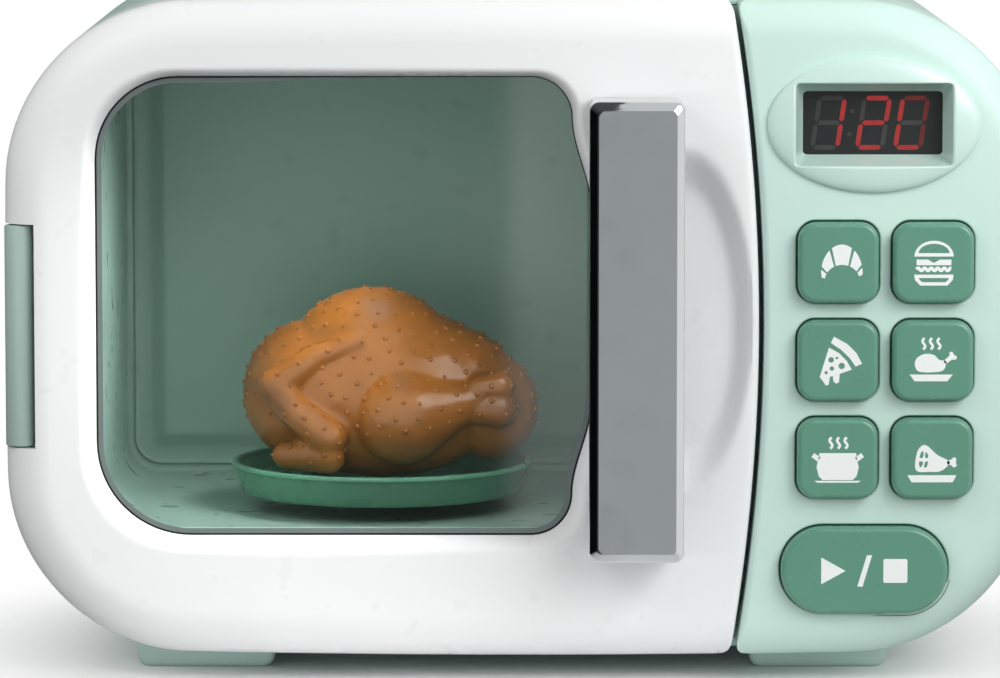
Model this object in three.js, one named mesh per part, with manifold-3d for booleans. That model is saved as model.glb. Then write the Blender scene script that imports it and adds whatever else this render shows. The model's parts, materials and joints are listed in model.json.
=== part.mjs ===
// Toy microwave with a swinging door, sprung keys and a battery driven turntable.
// Millimetres, +X right, +Y to the back, +Z up. The origin is under the middle of the object.
import * as THREE from 'three';
import { mergeVertices } from 'three/addons/utils/BufferGeometryUtils.js';
import Module from 'manifold-3d';

const wasm = await Module();
wasm.setup();

// Overall body
const bodyWidth = 275;
const bodyHeight = 176.6;
const cornerRadius = 47;
const sideCrown = 1.3;
const topCrown = 2.3;
const handleProud = 20;
const doorDepth = 20;
const doorGap = 0.6;
const caseDepth = 131.6;
const coverDepth = 3.6;
const wall = 2.5;
const seatGap = 0.3;
const runGap = 0.4;
const cutOverrun = 2;

// Feet
const footHeight = 6.5;
const footWidth = 37.5;
const footLength = 16;
const footLeftInset = 52;
const footRightInset = 57;
const footInset = 6;
const footEdge = 1.5;
const footEmbed = 6;

// Seam between the door and the control panel
const panelWidth = 74.7;
const seamRadius = 520;
const seamGap = 1.4;
const seamPointGap = 7;
const frontEdgeRadius = 4;
const frontEdgeSize = 3;

// Window and pane
const windowLeftMargin = 24.3;
const windowSeamMargin = 49.3;
const windowBulge = 5;
const windowBottomMargin = 32.9;
const windowTopMargin = 21.1;
const windowTopRadius = 22;
const windowBottomRadius = 25;
const windowRimDepth = 4.7;
const windowRimWall = 3;
const paneThickness = 2;
const paneLap = 2.4;

// Finger scoop and handle
const scoopSeamInset = 20.3;
const scoopRise = 2.2;
const scoopHalfWidth = 18.4;
const scoopHalfHeight = 47;
const scoopDepth = 9;
const handleSeamInset = 32.7;
const handleWidth = 24.9;
const handleHeight = 121.4;
const handleRise = 1.2;
const handleCorner = 2.5;
const handleDraft = 1;
const handleBarThickness = 7;
const handleLegLength = 14;

// Door inner frame, its screws and the latch
const frameThickness = 3;
const frameBack = 18;
const frameRibWall = 3;
const doorScrewInsetX = 15;
const doorScrewInsetZ = 21;
const doorScrewSeamInset = 18.3;
const bossRadius = 3.4;
const screwHeadRadius = 2.8;
const screwHeadHeight = 1.6;
const screwShankRadius = 1.3;
const screwLength = 9;
const hookSeamInset = 10.8;
const hookRise = 2.2;
const hookThickness = 2.4;
const hookHeight = 9;
const hookReach = 11;
const hookSwing = 2.6;
const hookFootHeight = 16;
const hookFootWidth = 6;
const catchWidth = 10;
const catchHeight = 7;
const catchDepth = 7;

// Hinge
const hingeInset = 4;
const hingeDepth = 6;
const hingeRadius = 3.9;
const hingeHeight = 59;
const hingeDrop = 1.9;
const hingeNotchSide = 4.3;
const hingeArmThickness = 5;
const hingePinRadius = 1.4;
const hingePinLength = 13;
const hingeLugHeight = 8;
const hingeLugDepth = 11;

// Oven liner
const ovenLeftMargin = 24;
const ovenSeamMargin = 26.3;
const ovenFloorRise = 32.5;
const ovenCeilingMargin = 18.1;
const ovenBackRoom = 14.1;
const ovenRadius = 10;
const ovenBackRadius = 8;
const linerWall = 2;
const linerFlange = 5;
const frontFrameThickness = 2.5;

// Turntable
const tableFrontInset = 43.35;
const plateRadius = 41.6;
const plateRimHeight = 6.3;
const plateRaise = 5.6;
const plateThickness = 2;
const plateRimWidth = 2.4;
const plateDraft = 2.5;
const plateHubRadius = 9;
const couplerRadius = 5.4;
const couplerLobe = 0.9;
const couplerLobes = 3;
const shaftRadius = 3;
const driveRadius = 20;
const driveTeeth = 40;
const pinionTeeth = 10;
const gearHeight = 5;
const pinionHeight = 7;
const meshPlay = 0.35;
const gearDrop = 4;
const motorRadius = 12;
const motorHeight = 11.5;
const motorShaftRadius = 1;
const housingWall = 2;
const housingFloor = 2;
const gearRunRadius = 22.4;
const pinionRunRadius = 8;
const earRadius = 5;
const earReach = 28;

// Roast chicken: sizes of the lobes and their places over the plate
const chickenLength = 83;
const chickenHeight = 53;
const chickenWidth = 58;
const chickenOffset = 2;

// Control panel
const keyWidth = 21.4;
const keyCorner = 4.8;
const keyProud = 4;
const keyColumnsInset = 41.25;
const keyColumnGap = 3.7;
const keyRowGap = 4.7;
const keyEndGap = 7.7;
const keyTravel = 1.5;
const keyEdge = 1;
const keyBody = 6.2;
const keyFlange = 1.2;
const keyFlangeHeight = 1;
const keyStemRadius = 3;
const startInset = 46.5;
const startRise = 24.5;
const startWidth = 44.3;
const startHeight = 23.1;
const startCorner = 11.2;
const bezelInset = 44.5;
const bezelTopMargin = 33.6;
const bezelHalfWidth = 28.2;
const bezelHalfHeight = 18.1;
const bezelDome = 3.6;
const recessWidth = 41.3;
const recessHeight = 21.7;
const recessWall = 1.2;
const displayWidth = 37.6;
const displayHeight = 19;
const displayThickness = 8;
const displayFront = 6;
const boardThickness = 1.6;
const boardMargin = 5;
const membraneThickness = 1;
const postRadius = 2;

// Rear side
const rearEdge = 2;
const rearScrewInsetX = 19.5;
const rearScrewInsetZ = 19.8;
const rearBossRadius = 4;
const rearBossDepth = 30;
const rearScrewDepth = 12;
const speakerInset = 51;
const speakerRise = 62;
const speakerRadius = 20;
const speakerDepth = 8;
const grilleSlots = 5;
const grillePitch = 6;
const grilleWidth = 2.4;
const grilleLength = 26;
const cellLength = 50.5;
const cellRadius = 7.2;
const cellPitch = 15.4;
const cellCount = 3;
const batteryInset = 55;
const batteryRise = 59.5;
const boxWall = 1.8;
const boxDepth = 20;
const contactThickness = 0.5;
const batteryDoorLap = 7;
const batteryDoorThickness = 2.4;
const ledInset = 22;
const ledFrontInset = 24.35;
const ledRadius = 2.5;
const ledHeight = 8;

// Curve fineness: counts, not sizes
const cornerSteps = 6;
const sideSteps = 6;
const seamSteps = 12;
const roundSteps = 24;
const keyCornerSteps = 3;
const smallSteps = 10;
const lobeSteps = 16;
const limbSides = 9;
const limbEndSteps = 3;

// Places worked out from the sizes above
const bodyMiddleZ = footHeight + bodyHeight / 2;
const bodyTop = footHeight + bodyHeight;
const bodyRight = bodyWidth / 2;
const bodyLeft = -bodyRight;
const totalDepth = handleProud + doorDepth + doorGap + caseDepth + seatGap + coverDepth;
const handleFrontY = -totalDepth / 2;
const frontY = handleFrontY + handleProud;
const doorBackY = frontY + doorDepth;
const caseFrontY = doorBackY + doorGap;
const caseBackY = caseFrontY + caseDepth;
const coverFrontY = caseBackY + seatGap;
const coverBackY = coverFrontY + coverDepth;
const frontFrameY = caseFrontY + seatGap;
const frontFrameBackY = frontFrameY + frontFrameThickness;
const linerFrontY = frontFrameBackY + seatGap;
const ovenBackY = caseBackY - ovenBackRoom;
const seamApexX = bodyRight - panelWidth;
const ovenLeft = bodyLeft + ovenLeftMargin;
const ovenRight = seamApexX - ovenSeamMargin;
const ovenFloor = footHeight + ovenFloorRise;
const ovenCeiling = bodyTop - ovenCeilingMargin;
const ovenMiddleX = (ovenLeft + ovenRight) / 2;
const ovenMiddleZ = (ovenFloor + ovenCeiling) / 2;
const hingeY = frontY + hingeDepth;
const hingeX = bodyLeft + hingeInset;
const hingeBottom = bodyMiddleZ - hingeDrop - hingeHeight / 2;
const hingeTop = hingeBottom + hingeHeight;
const windowLeft = bodyLeft + windowLeftMargin;
const windowRight = seamApexX - windowSeamMargin;
const windowBottom = footHeight + windowBottomMargin;
const windowTop = bodyTop - windowTopMargin;
const scoopX = seamApexX - scoopSeamInset;
const scoopZ = bodyMiddleZ + scoopRise;
const handleX = seamApexX - handleSeamInset;
const handleZ = bodyMiddleZ + handleRise;
const hookX = seamApexX - hookSeamInset;
const hookZ = bodyMiddleZ + hookRise;
const tableX = ovenMiddleX;
const tableY = linerFrontY + tableFrontInset;
const gearModule = 2 * driveRadius / driveTeeth;
const bezelX = bodyRight - bezelInset;
const bezelZ = bodyTop - bezelTopMargin;
const startX = bodyRight - startInset;
const startZ = footHeight + startRise;
const keyRoom = bezelZ - bezelHalfHeight - startZ - startHeight / 2 - 2 * keyEndGap;
const keyHeight = (keyRoom - 2 * keyRowGap) / 3;
const keyRowPitch = keyHeight + keyRowGap;
const keyMiddleX = bodyRight - keyColumnsInset;
const keyColumnPitch = keyWidth + keyColumnGap;
const keyColumnX = [keyMiddleX - keyColumnPitch / 2, keyMiddleX + keyColumnPitch / 2];
const keyTopRowZ = bezelZ - bezelHalfHeight - keyEndGap - keyHeight / 2;
const keyRowZ = [keyTopRowZ, keyTopRowZ - keyRowPitch, keyTopRowZ - 2 * keyRowPitch];
const batteryX = bodyRight - batteryInset;
const batteryZ = footHeight + batteryRise;
const speakerX = bodyRight - speakerInset;
const speakerZ = batteryZ + speakerRise;
const ledX = ovenRight - ledInset;
const ledY = linerFrontY + ledFrontInset;

const colours = {
  mint: { color: 0xc9e1d9, roughness: 0.38, metalness: 0 },
  white: { color: 0xf2f4f3, roughness: 0.3, metalness: 0 },
  green: { color: 0x5f9480, roughness: 0.4, metalness: 0 },
  deepGreen: { color: 0x4c7866, roughness: 0.35, metalness: 0 },
  liner: { color: 0x8fb0a4, roughness: 0.5, metalness: 0 },
  chrome: { color: 0xb8bcbc, roughness: 0.12, metalness: 1 },
  steel: { color: 0x9a9c9c, roughness: 0.35, metalness: 1 },
  brown: { color: 0x8f5a2c, roughness: 0.35, metalness: 0 },
  smoke: { color: 0x4a5a54, roughness: 0.05, metalness: 0, transparent: true, opacity: 0.35 },
  dark: { color: 0x2b2c2d, roughness: 0.45, metalness: 0 },
  board: { color: 0x2d6b45, roughness: 0.6, metalness: 0 },
  cell: { color: 0x8c8f94, roughness: 0.4, metalness: 0.6 },
  nylon: { color: 0xe9e6da, roughness: 0.55, metalness: 0 },
};

// Helpers that join and cut closed bodies
function solid(geometry) {
  geometry.deleteAttribute('normal');
  geometry.deleteAttribute('uv');
  const merged = mergeVertices(geometry);
  const vertProperties = new Float32Array(merged.attributes.position.array);
  const triVerts = new Uint32Array(merged.index.array);
  return new wasm.Manifold(new wasm.Mesh({ numProp: 3, vertProperties, triVerts }));
}

function joined(first, ...others) {
  return others.reduce((sum, next) => sum.add(next), first);
}

function cut(first, ...others) {
  return others.reduce((rest, next) => rest.subtract(next), first);
}

function piece(name, body, look) {
  const mesh = body.getMesh();
  const geometry = new THREE.BufferGeometry();
  geometry.setAttribute('position', new THREE.BufferAttribute(new Float32Array(mesh.vertProperties), 3));
  geometry.setIndex(new THREE.BufferAttribute(new Uint32Array(mesh.triVerts), 1));
  geometry.computeVertexNormals();
  const node = new THREE.Mesh(geometry, new THREE.MeshStandardMaterial(colours[look]));
  node.name = name;
  return node;
}

// A flat outline in X and Z, extruded along Y from y0 to y1. The edge is rounded inside the outline.
function slab(points, y0, y1, edgeDepth = 0, edgeSize = 0, edgeSteps = 3) {
  const shape = new THREE.Shape(points);
  const geometry = new THREE.ExtrudeGeometry(shape, {
    depth: y1 - y0 - 2 * edgeDepth,
    bevelEnabled: edgeDepth > 0,
    bevelThickness: edgeDepth,
    bevelSize: edgeSize,
    bevelOffset: -edgeSize,
    bevelSegments: edgeSteps,
  });
  geometry.rotateX(Math.PI / 2);
  geometry.translate(0, y1 - edgeDepth, 0);
  return solid(geometry);
}

// The same in X and Y, extruded up from z0 to z1
function block(points, z0, z1) {
  const geometry = new THREE.ExtrudeGeometry(new THREE.Shape(points), { depth: z1 - z0, bevelEnabled: false });
  geometry.translate(0, 0, z0);
  return solid(geometry);
}

function box(x0, x1, y0, y1, z0, z1) {
  const geometry = new THREE.BoxGeometry(x1 - x0, y1 - y0, z1 - z0);
  geometry.translate((x0 + x1) / 2, (y0 + y1) / 2, (z0 + z1) / 2);
  return solid(geometry);
}

function rodAlongY(x, z, radius, y0, y1, steps = smallSteps) {
  const geometry = new THREE.CylinderGeometry(radius, radius, y1 - y0, steps);
  geometry.translate(x, (y0 + y1) / 2, z);
  return solid(geometry);
}

function rodAlongZ(x, y, radius, z0, z1, steps = smallSteps) {
  const geometry = new THREE.CylinderGeometry(radius, radius, z1 - z0, steps);
  geometry.rotateX(Math.PI / 2);
  geometry.translate(x, y, (z0 + z1) / 2);
  return solid(geometry);
}

// Profile points are [radius, height]; the profile turns about the upright axis.
function turned(profile, steps = roundSteps) {
  const geometry = new THREE.LatheGeometry(profile.map(([r, z]) => new THREE.Vector2(r, z)), steps);
  geometry.rotateX(Math.PI / 2);
  return solid(geometry);
}

function arc(centreX, centreZ, radius, from, to, steps) {
  return Array.from({ length: steps + 1 }, (_, i) => {
    const angle = from + (to - from) * i / steps;
    return new THREE.Vector2(centreX + radius * Math.cos(angle), centreZ + radius * Math.sin(angle));
  });
}

// Rounded rectangle, anticlockwise from the right side of the top right corner
function roundedPoints(x, z, width, height, radius, steps = cornerSteps) {
  const halfX = width / 2 - radius;
  const halfZ = height / 2 - radius;
  const signs = [[1, 1], [-1, 1], [-1, -1], [1, -1]];
  return signs.flatMap(([sx, sz], i) => {
    const start = i * Math.PI / 2;
    return arc(x + sx * halfX, z + sz * halfZ, radius, start, start + Math.PI / 2, steps);
  });
}

// Outline of the body: a rounded rectangle whose four sides swell a little
function bodyPoints(inset) {
  const halfX = bodyWidth / 2 - sideCrown - inset;
  const halfZ = bodyHeight / 2 - topCrown - inset;
  const corners = roundedPoints(0, 0, 2 * halfX, 2 * halfZ, cornerRadius - inset);
  const dense = corners.flatMap((point, i) => {
    const next = corners[(i + 1) % corners.length];
    const straight = point.distanceTo(next) > cornerRadius / 2;
    const count = straight ? sideSteps : 1;
    return Array.from({ length: count }, (_, k) => point.clone().lerp(next, k / count));
  });
  return dense.map((point) => {
    const swellX = 1 + sideCrown / halfX * (1 - (point.y / halfZ) ** 2);
    const swellZ = 1 + topCrown / halfZ * (1 - (point.x / halfX) ** 2);
    return new THREE.Vector2(point.x * swellX, bodyMiddleZ + point.y * swellZ);
  });
}

function seamX(z) {
  const rise = z - bodyMiddleZ;
  return seamApexX - seamRadius + Math.sqrt(seamRadius ** 2 - rise ** 2);
}

// The part of the body outline on one side of the seam: side is -1 for the door, 1 for the panel
function frontPoints(inset, side) {
  const edgeX = (z) => seamX(z) + side * (seamGap / 2 + inset);
  const ring = bodyPoints(inset);
  const kept = ring.map((point) => side * (point.x - edgeX(point.y)) > seamPointGap);
  const first = kept.findIndex((keep, i) => keep && !kept[(i + ring.length - 1) % ring.length]);
  const run = [...ring.slice(first), ...ring.slice(0, first)].slice(0, kept.filter(Boolean).length);
  const halfZ = bodyHeight / 2 - topCrown - inset;
  const halfX = bodyWidth / 2 - sideCrown - inset;
  const endRise = halfZ + topCrown * (1 - (edgeX(bodyMiddleZ + halfZ) / halfX) ** 2);
  const seam = Array.from({ length: seamSteps + 1 }, (_, i) => {
    const z = bodyMiddleZ + side * endRise * (1 - 2 * i / seamSteps);
    return new THREE.Vector2(edgeX(z), z);
  });
  return [...run, ...seam];
}

// Window opening: rounded at the left, narrower at the right corners than beside the handle
function windowPoints(grow) {
  const left = windowLeft - grow;
  const right = windowRight + grow;
  const bulge = right + windowBulge;
  const bottom = windowBottom - grow;
  const top = windowTop + grow;
  const topR = windowTopRadius + grow;
  const lowR = windowBottomRadius + grow;
  const stepZ = windowBulge * 2;
  const quarter = Math.PI / 2;
  const rightR = topR / 2;
  return [
    ...arc(right - rightR, top - rightR, rightR, 0, quarter, cornerSteps),
    ...arc(left + topR, top - topR, topR, quarter, 2 * quarter, cornerSteps),
    ...arc(left + lowR, bottom + lowR, lowR, 2 * quarter, 3 * quarter, cornerSteps),
    ...arc(right - rightR, bottom + rightR, rightR, -quarter, 0, cornerSteps),
    new THREE.Vector2(bulge, bottom + rightR + stepZ),
    new THREE.Vector2(bulge, top - rightR - stepZ),
  ];
}

// Pieces of the body

function frontFrame() {
  const plate = slab(bodyPoints(wall + seatGap), frontFrameY, frontFrameBackY);
  const width = ovenRight - ovenLeft;
  const height = ovenCeiling - ovenFloor;
  const mouth = roundedPoints(ovenMiddleX, ovenMiddleZ, width, height, ovenRadius);
  const opening = slab(mouth, frontFrameY - cutOverrun, frontFrameBackY + cutOverrun);
  const slot = box(
    hookX - hookThickness / 2 - runGap, hookX + hookThickness / 2 + hookSwing,
    frontFrameY - cutOverrun, frontFrameBackY + cutOverrun,
    hookZ - hookHeight / 2 - runGap, hookZ + hookHeight / 2 + runGap,
  );
  return piece('front_frame', cut(plate, opening, slot), 'mint');
}

function ovenLiner() {
  const width = ovenRight - ovenLeft;
  const height = ovenCeiling - ovenFloor;
  const grown = 2 * linerWall;
  const outer = roundedPoints(ovenMiddleX, ovenMiddleZ, width + grown, height + grown, ovenRadius + linerWall);
  const flangeGrown = grown + 2 * linerFlange;
  const flangeOutline = roundedPoints(
    ovenMiddleX, ovenMiddleZ, width + flangeGrown, height + flangeGrown, ovenRadius + linerWall + linerFlange,
  );
  const inner = roundedPoints(ovenMiddleX, ovenMiddleZ, width, height, ovenRadius);
  const shell = slab(outer, linerFrontY, ovenBackY + linerWall, linerWall, linerWall);
  const flange = slab(flangeOutline, linerFrontY, linerFrontY + linerWall);
  const hollow = slab(inner, linerFrontY - ovenRadius - cutOverrun, ovenBackY, ovenBackRadius, ovenBackRadius);
  const shaftHole = rodAlongZ(
    tableX, tableY, shaftRadius + runGap, ovenFloor - 2 * linerWall, ovenFloor + cutOverrun,
  );
  const ledHole = rodAlongZ(
    ledX, ledY, ledRadius + seatGap, ovenCeiling - cutOverrun, ovenCeiling + 2 * linerWall,
  );
  return piece('oven_liner', cut(joined(shell, flange), hollow, shaftHole, ledHole), 'liner');
}

function ovenLed() {
  const bulbZ = ovenCeiling - linerWall / 2;
  const bulb = rodAlongZ(ledX, ledY, ledRadius, bulbZ, bulbZ + ledHeight);
  const rim = rodAlongZ(ledX, ledY, ledRadius + linerWall, ovenCeiling + linerWall + seatGap, bulbZ + ledHeight);
  return piece('oven_led', joined(bulb, rim), 'nylon');
}

function keyOutline(grow) {
  return roundedPoints(0, 0, keyWidth + 2 * grow, keyHeight + 2 * grow, keyCorner + grow, keyCornerSteps);
}

function startOutline(grow) {
  return roundedPoints(0, 0, startWidth + 2 * grow, startHeight + 2 * grow, startCorner + grow);
}

const keyPlaces = keyRowZ.flatMap((z, row) => keyColumnX.map((x, column) => ({
  name: `button_r${row + 1}_${column === 0 ? 'left' : 'right'}`, x, z, outline: keyOutline,
})));
const startPlace = { name: 'button_start', x: startX, z: startZ, outline: startOutline };
const keys = [...keyPlaces, startPlace];

const boardFrontY = frontY + displayFront + displayThickness + seatGap;
const membraneBackY = boardFrontY - seatGap;
const membraneFrontY = membraneBackY - membraneThickness;
const boardLeft = keyColumnX[0] - keyWidth / 2 - boardMargin;
const boardRight = keyColumnX[1] + keyWidth / 2 - boardMargin / 2;
const boardBottom = startZ - startHeight / 2 + boardMargin;
const boardTop = bezelZ + bezelHalfHeight / 2 + boardMargin;
const membraneTop = keyRowZ[0] + keyHeight / 2;
const postPlaces = [
  [keyMiddleX, (bezelZ - bezelHalfHeight + membraneTop) / 2],
  [keyMiddleX, keyRowZ[1] + keyRowPitch / 2],
  [keyMiddleX, keyRowZ[1] - keyRowPitch / 2],
];

function controlPanel() {
  const backY = caseFrontY - seatGap;
  const shell = slab(frontPoints(0, 1), frontY, backY, frontEdgeRadius, frontEdgeSize);
  const hollow = slab(frontPoints(wall, 1), frontY + wall, backY + cutOverrun);
  const holes = keys.map(({ x, z, outline }) => (
    slab(outline(runGap), frontY - cutOverrun, frontY + wall + cutOverrun).translate([x, 0, z])
  ));
  const around = 2 * (recessWall + seatGap);
  const recessOutline = roundedPoints(
    bezelX, bezelZ, recessWidth + around, recessHeight + around, recessWall,
  );
  const recess = slab(recessOutline, frontY - cutOverrun, frontY + wall + cutOverrun);
  const posts = postPlaces.map(([x, z]) => rodAlongY(x, z, postRadius, frontY + wall / 2, boardFrontY - seatGap));
  return piece('control_panel', joined(cut(shell, hollow, recess, ...holes), ...posts), 'mint');
}

function key({ name, x, z, outline }) {
  const capFrontY = frontY - keyProud;
  const cap = slab(outline(0), capFrontY, capFrontY + keyBody + 2 * keyEdge, keyEdge, keyEdge, 2);
  const flangeY = frontY + wall + seatGap;
  const flange = slab(outline(keyFlange), flangeY, flangeY + keyFlangeHeight);
  const stem = rodAlongY(0, 0, keyStemRadius, flangeY, membraneFrontY - keyTravel - runGap);
  const behind = box(
    -bodyWidth, bodyWidth, flangeY + keyFlangeHeight, frontY + bodyWidth, -bodyWidth, bodyWidth,
  );
  const trimmed = cut(cap, behind);
  const node = piece(name, joined(trimmed, flange, stem), 'green');
  node.position.set(x, 0, z);
  return node;
}

// Shares of the radius and the height of the dome, from its foot to its top
const bezelDomeShares = [
  [0, 0], [1, 0], [1, 0.12], [0.96, 0.42], [0.85, 0.72], [0.68, 0.92], [0.4, 1], [0, 1],
];

function displayBezel() {
  const dome = turned(bezelDomeShares, 2 * lobeSteps);
  const baseY = frontY - seatGap;
  // The unit dome stands on +Z; it is laid to face -Y and scaled to the oval.
  const oval = dome
    .rotate([90, 0, 0])
    .scale([bezelHalfWidth, bezelDome, bezelHalfHeight])
    .translate([bezelX, baseY, bezelZ]);
  const tubeBackY = frontY + displayFront - seatGap;
  const grown = 2 * recessWall;
  const tubeOutline = roundedPoints(bezelX, bezelZ, recessWidth + grown, recessHeight + grown, recessWall);
  const tube = slab(tubeOutline, baseY - bezelDome / 2, tubeBackY);
  const holeOutline = roundedPoints(bezelX, bezelZ, recessWidth, recessHeight, recessWall / 2);
  const hole = slab(holeOutline, baseY - 2 * bezelDome, tubeBackY + cutOverrun);
  return piece('display_bezel', cut(joined(oval, tube), hole), 'mint');
}

function displayModule() {
  const faceY = frontY + displayFront;
  const body = box(
    bezelX - displayWidth / 2, bezelX + displayWidth / 2, faceY, faceY + displayThickness,
    bezelZ - displayHeight / 2, bezelZ + displayHeight / 2,
  );
  return piece('display_module', body, 'dark');
}

// The room between the walls of the control panel
function insidePanel() {
  return slab(bodyPoints(wall + runGap), frontY, caseFrontY);
}

function keypadMembrane() {
  const sheet = slab(
    roundedPoints(
      (boardLeft + boardRight) / 2, (boardBottom + membraneTop) / 2, boardRight - boardLeft - keyEdge,
      membraneTop - boardBottom, keyEdge,
    ),
    membraneFrontY, membraneBackY,
  );
  const holes = postPlaces.map(([x, z]) => (
    rodAlongY(x, z, postRadius + runGap, frontY, boardFrontY + cutOverrun)
  ));
  return piece('keypad_membrane', cut(sheet, ...holes).intersect(insidePanel()), 'nylon');
}

function controlBoard() {
  const board = box(boardLeft, boardRight, boardFrontY, boardFrontY + boardThickness, boardBottom, boardTop);
  return piece('control_board', board.intersect(insidePanel()), 'board');
}

function hingeKnuckle() {
  const height = hingeTop - hingeBottom;
  const barrel = rodAlongZ(hingeX, hingeY, hingeRadius, hingeBottom, hingeTop, roundSteps);
  const armFootY = caseFrontY - seatGap;
  const arm = box(
    hingeX - hingeArmThickness / 2, hingeX + hingeArmThickness / 2, hingeY, armFootY, hingeBottom, hingeTop,
  );
  const pinBore = rodAlongZ(hingeX, hingeY, hingePinRadius + seatGap, hingeBottom - height, hingeTop + height);
  return piece('hinge_knuckle', cut(joined(barrel, arm), pinBore), 'mint');
}

// Lower and upper half of a plain upright pin shared by door lug and knuckle
function hingePin(name, edgeZ, up) {
  const half = hingePinLength / 2;
  const pin = rodAlongZ(0, 0, hingePinRadius, -half, half);
  const node = piece(name, pin, 'steel');
  node.position.set(hingeX, hingeY, edgeZ + up * runGap / 2);
  return node;
}

// Pieces of the door

const frameBackY = frontY + frameBack;
const frameFrontY = frameBackY - frameThickness;
const paneFrontY = frontY + windowRimDepth + seatGap;
const paneBackY = paneFrontY + paneThickness;
const doorScrewPlaces = [
  [bodyLeft + wall + doorScrewInsetX, bodyMiddleZ + bodyHeight / 2 - wall - doorScrewInsetZ],
  [bodyLeft + wall + doorScrewInsetX, bodyMiddleZ - bodyHeight / 2 + wall + doorScrewInsetZ],
  [seamApexX - doorScrewSeamInset, bodyMiddleZ + bodyHeight / 2 - wall - doorScrewInsetX],
  [seamApexX - doorScrewSeamInset, bodyMiddleZ - bodyHeight / 2 + wall + doorScrewInsetX],
];
const handleScrewPlaces = [handleHeight / 2, -handleHeight / 2].map((rise) => (
  handleZ + rise - Math.sign(rise) * handleLegLength / 2
));

function scoop(grow) {
  const ball = solid(new THREE.SphereGeometry(1, roundSteps, lobeSteps / 2));
  return ball
    .scale([scoopHalfWidth + grow, scoopDepth + grow, scoopHalfHeight + grow])
    .translate([scoopX, frontY, scoopZ]);
}

function hingeNotch(clearance) {
  return box(
    -bodyWidth, hingeX + hingeNotchSide, frontY - cutOverrun, doorBackY + cutOverrun,
    hingeBottom - clearance, hingeTop + clearance,
  );
}

function doorShell() {
  const skin = slab(frontPoints(0, -1), frontY, doorBackY, frontEdgeRadius, frontEdgeSize);
  const hollow = slab(frontPoints(wall, -1), frontY + wall, doorBackY + cutOverrun);
  const rim = slab(windowPoints(windowRimWall), frontY + wall / 2, frontY + windowRimDepth);
  const opening = slab(windowPoints(0), frontY - cutOverrun, frontY + windowRimDepth + cutOverrun);
  const flare = slab(windowPoints(wall), frontY - cutOverrun, frontY + wall / 2);
  const behindFace = box(-bodyWidth, bodyWidth, frontY + wall / 2, doorBackY, 0, 2 * bodyHeight);
  const bowl = scoop(wall).intersect(behindFace);
  const bosses = doorScrewPlaces.map(([x, z]) => (
    rodAlongY(x, z, bossRadius, frontY + wall / 2, frameFrontY - seatGap)
  ));
  const bossHoles = doorScrewPlaces.map(([x, z]) => (
    rodAlongY(x, z, screwShankRadius + seatGap, frontY + wall, frameFrontY + cutOverrun)
  ));
  const handleHoles = handleScrewPlaces.map((z) => (
    rodAlongY(handleX, z, screwShankRadius + seatGap, frontY - cutOverrun, frontY + wall + cutOverrun)
  ));
  const notchWall = box(
    hingeX + hingeNotchSide, hingeX + hingeNotchSide + wall, frontY + wall / 2, frameFrontY - seatGap,
    hingeBottom - hingeLugHeight, hingeTop + hingeLugHeight,
  );
  const lugOutside = hingeX + hingeNotchSide + wall;
  const lugBlock = box(
    -bodyWidth, lugOutside, frontY + wall / 2, frontY + hingeLugDepth,
    hingeBottom - hingeLugHeight, hingeTop + hingeLugHeight,
  ).intersect(skin);
  const pinBore = rodAlongZ(
    hingeX, hingeY, hingePinRadius + seatGap,
    hingeBottom - hingePinLength / 2 - runGap, hingeTop + hingePinLength / 2 + runGap,
  );
  const filled = joined(cut(skin, hollow), rim, bowl, notchWall, lugBlock, ...bosses);
  return piece(
    'door_shell',
    cut(filled, opening, flare, scoop(0), hingeNotch(runGap), pinBore, ...bossHoles, ...handleHoles),
    'white',
  );
}

function doorFrame() {
  const plate = slab(frontPoints(wall + seatGap, -1), frameFrontY, frameBackY);
  const rib = slab(windowPoints(windowRimWall), paneBackY + seatGap, frameBackY - frameThickness / 2);
  const opening = slab(windowPoints(windowRimWall - frameRibWall), frontY, doorBackY + cutOverrun);
  const holes = doorScrewPlaces.map(([x, z]) => (
    rodAlongY(x, z, screwShankRadius + seatGap, frameFrontY - cutOverrun, frameBackY + cutOverrun)
  ));
  const notch = box(
    -bodyWidth, hingeX + hingeNotchSide + wall + seatGap, frontY, doorBackY + cutOverrun,
    hingeBottom - hingeLugHeight - seatGap, hingeTop + hingeLugHeight + seatGap,
  );
  const room = scoop(wall + seatGap);
  return piece('door_frame', cut(joined(plate, rib), opening, notch, room, ...holes), 'white');
}

function windowPane() {
  return piece('window_pane', slab(windowPoints(paneLap), paneFrontY, paneBackY), 'smoke');
}

function doorHandle() {
  const rootY = frontY - seatGap;
  const outline = roundedPoints(handleX, handleZ, handleWidth, handleHeight, handleCorner, 2);
  const barFrontY = handleFrontY;
  const bar = slab(outline, barFrontY, rootY + handleDraft, handleDraft, handleDraft, 2);
  const trim = box(-bodyWidth, bodyWidth, rootY, frontY + bodyWidth, -bodyWidth, 2 * bodyHeight);
  const gapHalf = handleHeight / 2 - handleLegLength;
  const gap = box(
    handleX - handleWidth, handleX + handleWidth, barFrontY + handleBarThickness, frontY + cutOverrun,
    handleZ - gapHalf, handleZ + gapHalf,
  );
  const holes = handleScrewPlaces.map((z) => (
    rodAlongY(handleX, z, screwShankRadius + seatGap, barFrontY + handleBarThickness, frontY + cutOverrun)
  ));
  return piece('door_handle', cut(bar, trim, gap, ...holes), 'chrome');
}

// A pan head screw: its head stands on +Y, its shank points to -Y
function screw(name, x, headY, z, length) {
  const body = turned([
    [0, -length], [screwShankRadius, -length], [screwShankRadius, 0], [screwHeadRadius, 0],
    [screwHeadRadius, screwHeadHeight / 2], [screwHeadRadius / 2, screwHeadHeight], [0, screwHeadHeight],
  ], smallSteps);
  const node = piece(name, body.rotate([-90, 0, 0]), 'steel');
  node.position.set(x, headY, z);
  return node;
}

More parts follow.
